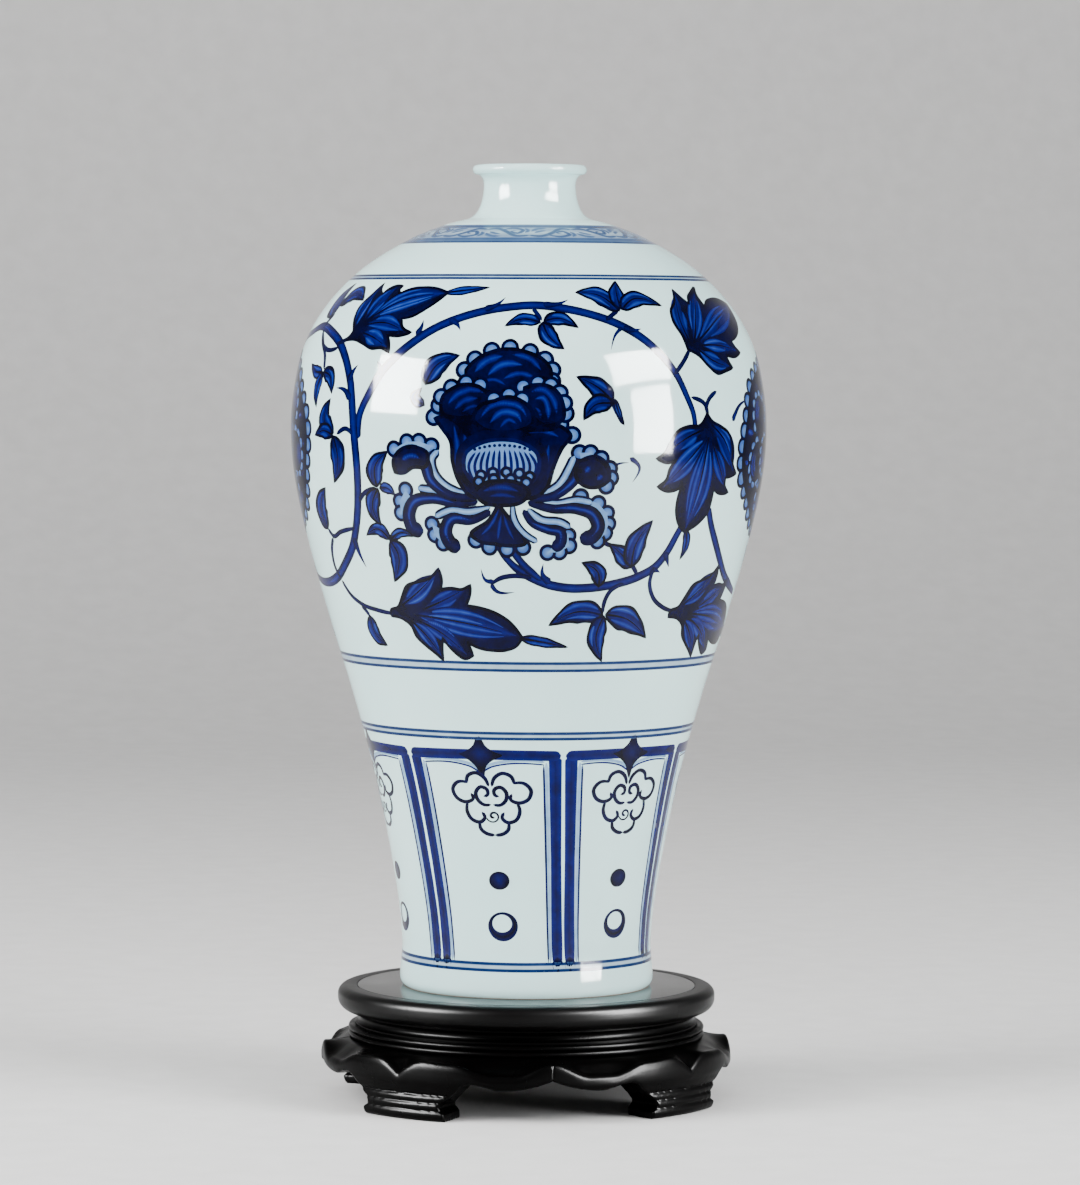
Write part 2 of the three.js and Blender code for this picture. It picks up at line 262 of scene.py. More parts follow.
# How dense the cobalt is, from a wash to nearly black, and what colour that fires to.
COBALT = from_screen(
    (0.0, 150, 182, 204), (0.16, 100, 136, 176), (0.36, 54, 86, 146), (0.55, 26, 46, 120),
    (0.75, 9, 18, 88), (0.9, 3, 6, 50), (1.0, 1, 2, 22))
# The thin cobalt of the rings and of the shoulder's band, which fires greyer.
THIN_COBALT = from_screen(
    (0.0, 178, 204, 214), (0.3, 130, 152, 170), (0.6, 70, 98, 134), (1.0, 22, 40, 80))


def porcelain_material():
    """White porcelain under a clear glaze, faintly blue, with the wheel's soft ripples."""
    look = Look("porcelain_glaze", **GLAZE)
    look.colour(look.noise(14, 3), from_screen((0.3, 196, 235, 235), (0.7, 208, 244, 242)))
    look.bump(look.noise(1, 1, stretch=(12, 12, 160)), 0.05, 0.0006)
    return look.material


def biscuit_material():
    """The bare, unglazed ring that the foot stands on."""
    look = Look("porcelain_biscuit", Roughness=0.62)
    grains = look.noise(900, 6)
    look.colour(grains, from_screen((0.3, 206, 192, 172), (0.7, 232, 222, 208)))
    look.bump(grains, 0.3, 0.0002)
    return look.material


def cobalt_material(name, stops):
    """Underglaze cobalt: each mark's own density, which pools a little as brushed pigment does."""
    look = Look(name, **GLAZE)
    density = look.add("Attribute", attribute_name="cobalt").outputs["Fac"]
    pool = look.ranged(look.noise(170, 4, 0.6), -0.05, 0.05, 0.3, 0.7)
    total = look.add("Math", (0, density), (1, pool), operation="ADD")
    look.colour(total.outputs["Value"], stops)
    return look.material


def blackwood_material(name, tone, sheen_rough, grain_turn, shine):
    """Nearly black lacquered wood with long fine grain, worn a little browner in its grain."""
    look = Look(name, Specular_IOR_Level=shine)
    grain = look.noise(1, 5, 0.6, stretch=(14, 260, 260), turn=grain_turn)
    worn = np.array(tone) + (6, 4, 4)
    look.colour(grain, from_screen((0.35, *tone), (0.72, *worn)))
    look.feed("Roughness", look.ranged(look.noise(28, 3), sheen_rough - 0.06, sheen_rough + 0.1))
    look.bump(grain, 0.22, 0.0002)
    return look.material


def beech_material():
    """Pale straight-grained wood for the dowels."""
    look = Look("beech_dowel", Roughness=0.62)
    grain = look.noise(1, 4, stretch=(120, 120, 500))
    look.colour(grain, from_screen((0.35, 150, 112, 70), (0.7, 198, 160, 112)))
    return look.material


def steel_material():
    """Zinc-plated screw steel with fine turning marks."""
    look = Look("screw_steel", Metallic=1.0)
    marks = look.noise(700, 4)
    look.colour(marks, from_screen((0.3, 150, 146, 136), (0.7, 196, 192, 182)))
    look.feed("Roughness", look.ranged(marks, 0.25, 0.45))
    return look.material


porcelain = porcelain_material()
biscuit = biscuit_material()
cobalt = cobalt_material("cobalt_underglaze", COBALT)
thin_cobalt = cobalt_material("cobalt_thin", THIN_COBALT)
# The waist and beads, and the legs, get darker, duller copies of the rim's blackwood. This is painted shade:
# for the recess under the rim's overhang, and for the lower stand below it.
board_wood = blackwood_material("blackwood_board", (4, 3, 3), 0.16, 0.35, 0.2)
rim_wood = blackwood_material("blackwood_rim", (3, 3, 3), 0.3, 0.9, 0.06)
shaded_waist_wood = blackwood_material("blackwood_waist", (2, 2, 2), 0.26, 0.9, 0.018)
shaded_leg_wood = blackwood_material("blackwood_leg", (3, 3, 3), 0.26, 0.2, 0.028)
beech = beech_material()
steel = steel_material()


# ---- Vase ----
WALL = 3.8
FOOT, ANKLE, BELLY = 49.5, (48.6, 17.0), (92.5, 214.0)
NECK_ROOT, NECK, NECK_UP = (24, 299), 17.8, 312.5
LIP, LIP_BEAD, BORE, VASE_TOP = 20.3, 1.9, 14, 320
INNER_FLOOR, FLOOR_FILLET, FOOT_HOLLOW = 11, 9.8, 5
VASE_STEPS = 288
BARE_RING, BARE_RISE = 41, 0.5  # the glaze is wiped off outside this radius and below this height
# The flank's (share of its rise, share of its spread), then the shoulder's, whose second share is
# of the spread that is still left.
FLANK_SHARES = [(0, 0), (0.08, 0.033), (0.2, 0.123), (0.34, 0.256), (0.49, 0.44), (0.635, 0.642),
                (0.78, 0.828), (0.905, 0.955), (1, 1)]
SHOULDER_SHARES = [(0.19, 0.989), (0.41, 0.931), (0.59, 0.813), (0.755, 0.622), (0.882, 0.386),
                   (0.967, 0.149), (1, 0)]


def vase_outside():
    """The vase's outside from the ring it stands on to the neck's slimmest place."""
    ankle, belly, root = (np.array(place, float) for place in (ANKLE, BELLY, NECK_ROOT))
    flank = [ankle + (belly - ankle) * (spread, rise) for rise, spread in FLANK_SHARES]
    shoulder = [(root[0] + (belly[0] - root[0]) * left, belly[1] + (root[1] - belly[1]) * rise)
                for rise, left in SHOULDER_SHARES]
    foot = [[47.5, 0], *bezier(6, (47.5, 0), (48.7, 0.4), (FOOT, 1.9), (FOOT, 3.6))]
    into_ankle = bezier(7, (FOOT, 3.6), (FOOT, 7), (48.75, 11), ANKLE)
    neck = bezier(16, NECK_ROOT, (20, 300.2), (NECK, 305.75), (NECK, NECK_UP))
    return np.vstack([foot, into_ankle, catmull([*flank, *shoulder], 9)[1:], neck])


def vase_inside(outside):
    """The inside wall, from the throat down to the middle of the floor."""
    inner = outside + WALL * sideways(outside)
    wall = inner[inner[:, 1] > INNER_FLOOR + FLOOR_FILLET][::-1]
    side = wall[-1][0]
    corner = bezier(8, wall[-1], (side, INNER_FLOOR + FLOOR_FILLET / 3),
                    (side - FLOOR_FILLET / 3, INNER_FLOOR), (side - FLOOR_FILLET, INNER_FLOOR))
    return np.vstack([wall[1:], corner, [[0, INNER_FLOOR]]])


def vase_profile(outside):
    """The whole closed section: under the foot, up the outside, over the lip and down the inside."""
    recess = bezier(6, (34, FOOT_HOLLOW), (40, FOOT_HOLLOW), (41.5, 4), (42, 1.2))
    under = [(0, FOOT_HOLLOW), (34, FOOT_HOLLOW), *recess, (42.4, 0.2), (42.9, 0)]
    lip_foot = VASE_TOP - 2 * LIP_BEAD
    flare = bezier(8, (NECK, NECK_UP), (NECK, 314.5), (19.2, lip_foot), (LIP, lip_foot))
    bead = arc((LIP, VASE_TOP - LIP_BEAD), LIP_BEAD, -80, 90, 17)
    mouth = bezier(10, (LIP, VASE_TOP), (16.6, VASE_TOP), (BORE, 317), (BORE, NECK_UP))
    return np.vstack([under, outside, flare, bead, mouth, vase_inside(outside)])


def make_vase():
    """The turned vase, its glaze wiped off where the foot ring stands."""
    profile = vase_profile(outside) + (0, VASE_FOOT)
    piece = lathe("porcelain_vase", profile, VASE_STEPS, porcelain, biscuit)
    for face in piece.data.polygons:
        radius = math.hypot(face.center.x, face.center.y) / MM
        bare = face.center.z / MM < VASE_FOOT + BARE_RISE and radius > BARE_RING
        face.material_index = 1 if bare else 0
    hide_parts("vase_body")
    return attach(piece, "vase")


outside = vase_outside()
make_vase()


# ---- The chart of the vase's surface ----
# A place on the vase is (degrees from the camera's side, millimetres up along the surface).
chart_run = along(outside)
chart_lean = -sideways(outside)  # points out of the vase


def on_vase(degrees, up, lift):
    """Points at a height above the glaze, from places on the chart."""
    radius, height, aside, above = (
        np.interp(up, chart_run, column) for column in (*outside.T, *chart_lean.T))
    radius, height = radius + lift * aside, height + lift * above
    turn = np.radians(degrees + FACING)
    return np.stack([radius * np.sin(turn), -radius * np.cos(turn), height + VASE_FOOT], 1)


# ---- Drawing ----
OUTLINE = 0.97  # densities of cobalt
DARK = 0.9
DEEP = 0.76
WASH = 0.27
GRID = 3.4  # millimetres between the extra points that let a wide mark follow the vase's curve
SHELL = 0.12  # how deep a mark reaches under the glaze's surface
LOBE_PEAK = 0.52  # where along its rib a lobe is widest
LEAF_POINT = 1.2  # how finely a leaf draws out to its tip
TAIL = 5  # a leaf narrower than this has a finer outline, as the drawn-out tip of another does
BRUSH_GAP = 1.9  # a lobe has one light streak for each of these millimetres of its half width
BRUSH_REACH = 0.58  # how far out the streaks go, as a share of the half width
VEIN_END = 0.88  # how far along a lobe its dark vein goes
LEAF_LINE = SCALLOP_LINE = 1.3
PETAL_LINE = 1.5
THORN_SWELL = [(0, 1.1), (0.4, 0.7), (1, 0.06)]
strands = np.random.default_rng(7)


class Drawing:
    """Marks on a flat chart in millimetres, later ones over earlier ones, that wrap onto the vase."""

    def __init__(self, scale):
        self.scale = scale  # millimetres across for each degree
        self.points, self.faces, self.owner, self.tones = [], [], [], []

    def flat(self, places):
        """Chart places as millimetres."""
        return np.array(places, float) * (self.scale, 1)

    def add_face(self, indices):
        """One small face of the last mark, the right way round, split where it isn't convex."""
        p = np.array([self.points[i] for i in indices])
        side = np.roll(p, -1, 0) - p
        turn = side[:, 0] * np.roll(side, -1, 0)[:, 1] - side[:, 1] * np.roll(side, -1, 0)[:, 0]
        if len(indices) == 4 and turn.min() < 0 < turn.max():
            self.add_face([indices[0], indices[1], indices[2]])
            self.add_face([indices[0], indices[2], indices[3]])
            return
        area = np.sum(p[:, 0] * np.roll(p[:, 1], -1) - p[:, 1] * np.roll(p[:, 0], -1)) / 2
        if abs(area) > 1e-4:
            self.faces.append(list(indices) if area > 0 else list(indices)[::-1])
            self.owner.append(len(self.tones) - 1)

    def area(self, line, tone):
        """Fills a closed outline, given in millimetres. A tone is a density or a function of place."""
        start = len(self.points)
        self.points += [tuple(p) for p in line]
        self.tones.append(tone)
        p = np.array(line)
        area = np.sum(p[:, 0] * np.roll(p[:, 1], -1) - p[:, 1] * np.roll(p[:, 0], -1))
        order = list(range(start, len(self.points)))
        self.faces.append(order if area > 0 else order[::-1])
        self.owner.append(len(self.tones) - 1)

    def ribbon(self, line, half, tone, middle=None):
        """A brush stroke along a line, in millimetres. With a middle tone it shades towards its edges."""
        across = sideways(line) * half[:, None]
        shade = tone if middle is None else shaded(line, half, middle, tone)
        self.tones.append(shade)
        start, count = len(self.points), len(line)
        self.points += [tuple(p) for p in np.vstack([line + across, line, line - across])]
        for i in range(start, start + count - 1):
            if middle is None:
                self.add_face([i, i + 2 * count, i + 2 * count + 1, i + 1])
            else:
                self.add_face([i, i + count, i + count + 1, i + 1])
                self.add_face([i + count, i + 2 * count, i + 2 * count + 1, i + count + 1])

    def stroke(self, places, width, tone=DARK, middle=None, ends=(0.5, 0.0), swell=None, step=0.9):
        """A brush stroke through chart places. ends are its shares of the width at its start and end."""
        line = smooth_line(self.flat(places), step)
        run = along(line)
        share = run / run[-1]
        swell = swell or [(0, ends[0]), (0.25, 1), (0.75, 1), (1, ends[1])]
        half = np.interp(share, *zip(*swell)) * width / 2
        tip = np.minimum(run, run[-1] - run) / np.maximum(half, 1e-6)
        blunt = np.sqrt(1 - (1 - np.clip(tip, 0.02, 1)) ** 2)
        self.ribbon(line, np.maximum(half * blunt, 0.04), tone, middle)
        return line

    def loop(self, line, width, tone=OUTLINE):
        """An even line round a closed outline, in millimetres."""
        p = np.asarray(line)
        run = np.roll(p, -1, 0) - np.roll(p, 1, 0)
        run /= np.maximum(np.hypot(*run.T), 1e-9)[:, None]
        across = np.stack([-run[:, 1], run[:, 0]], 1) * width / 2
        start, count = len(self.points), len(p)
        self.tones.append(tone)
        self.points += [tuple(q) for q in np.vstack([p + across, p - across])]
        for i in range(count):
            j = (i + 1) % count
            self.add_face([start + i, start + count + i, start + count + j, start + j])

    def topmost(self, flat, middles, sources):
        """The last mark that covers each triangle, or -1. sources are the faces each may lie in."""
        listed = {}
        for row, faces in enumerate(sources):
            for face in faces:
                listed.setdefault(face, []).append(row)
        owners = np.full(len(middles), -1)
        for face, rows in listed.items():
            rows = np.array(rows)
            covered = rows[inside(flat[self.faces[face]], middles[rows])]
            owners[covered] = np.maximum(owners[covered], self.owner[face])
        return owners

    def wrapped(self, name, lift, material=cobalt):
        """The drawing as a thin closed shell on the vase, whose corners carry the cobalt's density."""
        flat = np.array(self.points)
        low, high = flat.min(0), flat.max(0)
        grid = [(x, y) for x in np.arange(low[0] + 1.7, high[0], GRID)
                for y in np.arange(low[1] + 1.7, high[1], GRID)]
        made = delaunay_2d_cdt([*self.points, *grid], [], self.faces, 1, 1e-3, True)
        spots, corners, sources = np.array([tuple(v) for v in made[0]]), np.array(made[2]), made[5]
        owners = self.topmost(flat, spots[corners].mean(1), sources)
        corners, owners = corners[owners >= 0], owners[owners >= 0]
        density = np.zeros(corners.shape)
        for owner in np.unique(owners):
            rows = np.flatnonzero(owners == owner)
            tone = self.tones[owner]
            places = spots[corners[rows]].reshape(-1, 2)
            value = tone(places) if callable(tone) else np.full(len(places), tone)
            density[rows] = value.reshape(-1, 3)
        return shell(name, spots, corners, density, self.scale, lift, material)


def inside(outline, places):
    """Which places a closed outline winds round."""
    a, b = outline[None], np.roll(outline, -1, 0)[None]
    x, y = places[:, None, 0], places[:, None, 1]
    side = (b[..., 0] - a[..., 0]) * (y - a[..., 1]) - (x - a[..., 0]) * (b[..., 1] - a[..., 1])
    up = (a[..., 1] <= y) & (b[..., 1] > y) & (side > 0)
    down = (a[..., 1] > y) & (b[..., 1] <= y) & (side < 0)
    return up.sum(1) != down.sum(1)


def shaded(line, half, middle, edge):
    """A tone that goes from a stroke's middle to its edges."""
    def tone(places):
        far = np.hypot(places[:, None, 0] - line[None, :, 0], places[:, None, 1] - line[None, :, 1])
        near = far.argmin(1)
        share = np.clip(far[np.arange(len(places)), near] / np.maximum(half[near], 0.05), 0, 1)
        return middle + (edge - middle) * share
    return tone


def shell(name, spots, corners, density, scale, lift, material):
    """A closed thin solid on the vase from flat triangles."""
    used, index = np.unique(corners, return_inverse=True)
    corners = index.reshape(corners.shape)
    spots = spots[used]
    count = len(spots)
    degrees, up = spots[:, 0] / scale, spots[:, 1]
    points = np.vstack([on_vase(degrees, up, lift), on_vase(degrees, up, -SHELL)])
    edges = {}
    for row, (a, b, c) in enumerate(corners.tolist()):
        for k, edge in enumerate(((a, b), (b, c), (c, a))):
            edges[edge] = (row, k)
    rims = [(e, at) for e, at in edges.items() if e[::-1] not in edges]
    faces = [*corners.tolist(), *(corners[:, ::-1] + count).tolist()]
    faces += [[b, a, a + count, b + count] for (a, b), _ in rims]
    piece = mesh_object(name, points, faces, material, smooth_angle=50)
    rim_density = [(density[row, (k + 1) % 3], density[row, k]) for _, (row, k) in rims]
    values = [*density.ravel(), *density[:, ::-1].ravel()]
    values += [v for end, start in rim_density for v in (end, start, start, end)]
    layer = piece.data.attributes.new("cobalt", "FLOAT", "CORNER")
    layer.data.foreach_set("value", np.array(values, np.float32))
    lay_out_map(piece, spots, corners, rims)
    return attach(piece, "vase")


def lay_out_map(piece, spots, corners, rims):
    """The drawing's own chart as its texture map, with the shell's thin sides laid just outside it."""
    low = spots.min(0)
    flat = (spots - low + 0.5) / (np.ptp(spots, axis=0).max() + 1)
    places = [*flat[corners.ravel()], *flat[corners[:, ::-1].ravel()]]
    for (a, b), _ in rims:
        run = flat[b] - flat[a]
        out = np.array([run[1], -run[0]]) / max(np.hypot(*run), 1e-9) * 1e-3
        places += [flat[b], flat[a], flat[a] + out, flat[b] + out]
    layer = piece.data.uv_layers.new(name="OFBake")
    layer.data.foreach_set("uv", np.array(places, np.float32).ravel())


# ---- What the painter draws ----
BODY = 1.571  # millimetres for each degree on the belly
LOWER = 0.96  # and on the slender part
SHOULDER = 0.68  # and near the neck


def lobe_half(share, width, peak=0.37):
    """Half the width of a pointed lobe at shares of its length."""
    half = share ** (LEAF_POINT * peak / (1 - peak)) * (1 - share) ** LEAF_POINT
    return half * width / 2 / half.max()


def brushwork(drawing, mid, half):
    """The light streaks and the dark vein that a brush leaves along one lobe."""
    run = along(mid)
    share = run / run[-1]
    across = sideways(mid) * half[:, None]
    drawing.ribbon(mid, half * 0.86, 0.93, middle=0.76)
    streaks = max(2, round(half.max() / BRUSH_GAP))
    for place in np.linspace(-BRUSH_REACH, BRUSH_REACH, streaks):
        first, last = strands.uniform(0.05, 0.24), strands.uniform(0.62, 0.93)
        span = (share > first) & (share < last)
        if span.sum() < 4:
            continue
        bent = (mid + across * (place + strands.uniform(-0.1, 0.1)))[span]
        taper = np.sin(math.pi * np.linspace(0.03, 0.97, len(bent)) ** strands.uniform(0.6, 1.1))
        drawing.ribbon(bent, taper * strands.uniform(0.7, 1.25) + 0.05, 0.8,
                       middle=0.52 + strands.uniform(-0.08, 0.12))
    vein = share < VEIN_END
    if vein.sum() > 3:
        drawing.ribbon(mid[vein], np.interp(share[vein], [0, VEIN_END], [0.5, 0.12]), 0.98)


def leaf(drawing, rib, width, line):
    """A single pointed leaf along its rib, with a dark outline."""
    mid = smooth_line(drawing.flat(rib))
    run = along(mid)
    share = run / run[-1]
    half = lobe_half(share, width)
    across = sideways(mid) * half[:, None]
    left, right = (1 + 0.06 * np.sin(share * 17 + strands.uniform(0, 6)) for _ in range(2))
    edge = np.vstack([mid + across * left[:, None], (mid - across * right[:, None])[-2:0:-1]])
    drawing.area(edge, 0.93)
    brushwork(drawing, mid, half)
    drawing.loop(edge, line, 0.99)


def lobed_leaf(drawing, curves, lobes):
    """A leaf of many lobes inside one outline, each of whose curves starts where the last one ends."""
    ends = [curve[-1] for curve in curves]
    outline = np.vstack([smooth_line(drawing.flat([start, *curve]))[:-1]
                         for start, curve in zip([ends[-1], *ends], curves)])
    drawing.area(outline, 0.95)
    for width, *rib in lobes:
        mid = smooth_line(drawing.flat(rib))
        brushwork(drawing, mid, lobe_half(along(mid) / along(mid)[-1], width, LOBE_PEAK))
    drawing.loop(outline, LEAF_LINE, 1.0)


def stem(drawing, places, width):
    """A vine or a stalk: dark at its edges and cobalt in its middle."""
    spread, middle = (1.22, 0.72) if width > 2 else (1, 0.86)
    drawing.stroke(places, width * spread, tone=0.97, middle=middle, ends=(0.85, 0.6))


def thorns(drawing, table):
    """Hooks and spikes that taper away from a vine, each a row of a width and its places."""
    for width, *places in table:
        drawing.stroke(places, width, tone=0.95, middle=0.8, swell=THORN_SWELL)


def scallop(drawing, place, radius, wash=WASH):
    """A small pale lobe with a dark outline, part of a petal's frilled edge."""
    centre = drawing.flat([place])[0]
    edge = arc(centre, radius, 0, 360, 18)[:-1]
    spot = shaded(centre[None], np.array([radius]), wash - 0.06, wash + 0.16)
    drawing.area(edge, spot)
    drawing.loop(edge, SCALLOP_LINE, 0.96)


def closed(drawing, places):
    """A smooth closed outline in millimetres through chart places."""
    return smooth_line(drawing.flat([*places, places[0]]))[:-1]


def petal_mass(drawing, places, tone, arcs=()):
    """A dark petal through chart places round its edge. arcs are brushed over it, each a row of a
    width, its middle's density and its places."""
    edge = closed(drawing, places)
    drawing.area(edge, tone)
    for width, middle, *line in arcs:
        drawing.stroke(line, width * 0.9, tone=tone - 0.04, middle=middle + 0.1, ends=(0.15, 0.1))
    drawing.loop(edge, PETAL_LINE, 0.99)


def frilled_petal(drawing, frill, rest, tone, arcs, radius=2.8):
    """A dark petal with pale scallops along one side, whose middles lie just outside its edge."""
    for place in frill:
        scallop(drawing, place, radius)
    middle = np.mean([*frill, *rest], axis=0)
    reach = np.array(frill, float) - middle
    tucked = middle + reach * (1 - 0.6 / np.hypot(*(reach * (drawing.scale, 1)).T))[:, None]
    petal_mass(drawing, [*tucked.tolist(), *rest], tone, arcs)


def spiral(drawing, place, start, turns, radius, width, tone=OUTLINE):
    """A curl that winds in to a place, from an angle in degrees. Negative turns wind clockwise."""
    turn = np.radians(start) + np.linspace(0, 2 * math.pi * turns, 40)
    reach = np.linspace(radius, radius * 0.12, 40)[:, None]
    line = drawing.flat([place])[0] + reach * np.stack([np.cos(turn), np.sin(turn)], 1)
    drawing.ribbon(line, np.linspace(0.5, 1, 40) * width / 2, tone)


def frilled_ribbon(drawing, dark, light, frill, width):
    """A long bent petal of the peony: a dark band with a pale stripe beside it and a frilled end."""
    for place in frill:
        scallop(drawing, place, 2.75)
    fringe = [*frill, *dark[:len(dark) // 2 - 1:-1]]
    drawing.area(drawing.flat(fringe), 0.2)
    drawing.stroke(light, 4.0, tone=0.96, ends=(0.5, 0.9))
    drawing.stroke(light, 2.2, tone=0.3, middle=0.08, ends=(0.4, 0.8))
    drawing.stroke(dark, width, tone=0.99, middle=0.88,
                   swell=[(0, 0.5), (0.35, 0.72), (0.7, 1.0), (1, 1.15)])
    drawing.stroke(dark[1:-1], width * 0.3, tone=0.88, middle=0.6, ends=(0.1, 0.1))


def peony_crown(drawing):
    """The rounded tiers of dark petals that top the flower."""
    behind = [(-14, 246), (-20, 239), (-21, 231), (-17, 227), (-13.4, 221), (-6, 221), (0, 224), (7, 226),
              (8.2, 232), (7.4, 240), (4.4, 245), (-5, 248)]
    for place in [(-21.2, 234), (8.6, 231.2)]:
        scallop(drawing, place, 3.0)
    drawing.area(closed(drawing, behind), 0.98)
    frilled_petal(drawing, [(-15.4, 247.4), (-13, 251.6), (-9, 255), (-4.5, 256.2), (0.4, 254.6), (4, 251.6),
                            (5.7, 247.6), (5.6, 243.4)],
                  [(3.5, 240), (-1, 238.6), (-9, 239), (-14.4, 243)], 0.94, [
        (3.4, 0.52, (-12.8, 246.6), (-10.2, 250.8), (-6.2, 252.8)),
        (2.6, 0.56, (-3.8, 253.4), (0.6, 251.6), (3, 247.4)),
        (3.2, 0.48, (-9.6, 245.4), (-6.6, 249.4), (-1.4, 249.4)),
        (2.4, 0.56, (-5.8, 244.2), (-2.2, 246.2), (1.6, 244.6)),
        (1.6, 0.6, (-11.4, 242.6), (-8, 243.8), (-5.4, 241.8)),
    ], 2.9)
    frilled_petal(drawing, [(-11.4, 241.6), (-14.8, 242.6), (-18.4, 240.8), (-20.8, 237.2)],
                  [(-20.4, 231.4), (-15, 229.5), (-10, 232), (-9, 237)], 0.95, [
        (2.8, 0.58, (-19, 234.4), (-16.8, 238.2), (-12.8, 240), (-10.2, 238.6)),
        (2.6, 0.62, (-17.4, 232.4), (-15, 235.8), (-11.8, 236.8)),
        (1.6, 0.66, (-15.4, 231.6), (-13.4, 233.6), (-11.4, 233.8)),
    ])
    frilled_petal(drawing, [(-1.2, 241.2), (2.3, 242.6), (5.3, 241.8), (7.4, 239), (8.4, 235.2)],
                  [(8, 229), (4.6, 226.6), (1, 230), (-0.6, 236)], 0.95, [
        (2.6, 0.58, (0.4, 239), (3.4, 240.2), (5.6, 237), (6.6, 231)),
        (2.6, 0.5, (1.6, 236.6), (3.4, 237), (4.6, 233), (4.6, 229)),
        (1.4, 0.6, (1.6, 233.4), (2.6, 232), (2.8, 229.4)),
    ])
    frilled_petal(drawing, [(-8, 236.4), (-4.5, 238), (-1.4, 236.4)],
                  [(0.9, 232), (1, 227.4), (-2, 224.8), (-6, 224.2), (-10.4, 225.4), (-12.8, 229),
                   (-11.6, 233.4)],
                  0.93, [
        (2.6, 0.54, (-11, 229.6), (-8.8, 233.6), (-5.2, 235), (-1.8, 233.4), (-0.4, 230)),
        (3.0, 0.5, (-8.8, 227.6), (-6, 231.6), (-2.4, 230.4), (-1.6, 228)),
        (1.6, 0.6, (-6.4, 226), (-4.4, 228.8), (-2.6, 227.2)),
    ])


def peony_sepals(drawing):
    """The two tall petals that hold the pod, their frilled tops turned out."""
    frilled_petal(drawing, [(-22.4, 229.6), (-18.6, 230.8), (-14.2, 229.8)],
                  [(-12.2, 226), (-13.4, 218), (-14.8, 210), (-11.5, 203), (-9, 200), (-13.6, 200),
                   (-16.2, 205), (-17.8, 213), (-18.3, 221), (-20.4, 225.6)], 0.94, [
        (2.4, 0.56, (-17.4, 226.6), (-16.6, 219), (-16.6, 211), (-14.6, 204.6)),
        (1.6, 0.62, (-14.4, 227), (-14.8, 220), (-15.4, 213)),
    ], 2.9)
    frilled_petal(drawing, [(-0.6, 227.6), (3.5, 228.2), (7.4, 227.2), (10.2, 223.2)],
                  [(8, 218.6), (5.7, 210), (4.6, 204), (2, 200), (-1, 199.6), (0.8, 204), (2.4, 210),
                   (2.2, 216), (-1.6, 221.6)], 0.94, [
        (2.4, 0.54, (-0.8, 224), (3, 225), (7, 222.6)),
        (2.0, 0.56, (4.8, 219.6), (4.2, 213), (3.2, 206)),
    ], 2.9)
    for place in [(-9.2, 223.2), (-3.8, 222.8)]:
        scallop(drawing, place, 2.9)


def peony_pod(drawing):
    """The ribbed seed pod, pale with dark ribs, dotted at its top, on a dark oval."""
    behind = [(-17, 209), (-16.4, 218), (-12, 224), (-6, 225), (0, 224), (4, 218), (4.4, 209), (1, 202),
              (-6, 200), (-13, 202)]
    drawing.area(closed(drawing, behind), 0.96)
    edge = [(-15, 210), (-14.6, 216), (-11, 220), (-6, 221.4), (-1, 220), (2.2, 216), (2.4, 210),
            (0.6, 205), (-6, 203.6), (-12.6, 205)]
    outline = closed(drawing, edge)
    drawing.area(outline, 0.26)
    for lean in np.linspace(-1, 1, 12):
        rib = [(-6 + 6.6 * lean, 205.6), (-6 + 7.9 * lean, 211.5), (-6 + 6.2 * lean, 217.6 - lean**2)]
        drawing.stroke(rib, 1.15, tone=DEEP, middle=0.9, ends=(0.7, 0.5))
        dot = drawing.flat([(-6 + 6.4 * lean, 219.3 - 1.6 * lean**2)])[0]
        drawing.area(arc(dot, 0.62, 0, 360, 9)[:-1], DARK)
    drawing.loop(outline, PETAL_LINE, 0.9)
    for place in [(-11, 208), (-8.2, 209), (-5, 209.2), (-2, 208.8), (0.4, 207.6)]:
        scallop(drawing, place, 1.7)
    for place in [(-11.6, 205.6), (-8, 206.6), (-4, 206.6), (-0.4, 205.4)]:
        scallop(drawing, place, 1.8, wash=0.3)
    petal_mass(drawing, [(-12.8, 201.4), (-10.6, 204.8), (-6, 206), (-1.6, 204.8), (0.4, 201.4),
                         (-1.4, 198), (-6, 196.6), (-11, 198)], 0.95, [
        (2.6, 0.62, (-10.6, 202), (-6.4, 203.6), (-2.2, 202)),
        (1.8, 0.66, (-9.2, 200), (-6, 200.6), (-3, 199.8)),
    ])


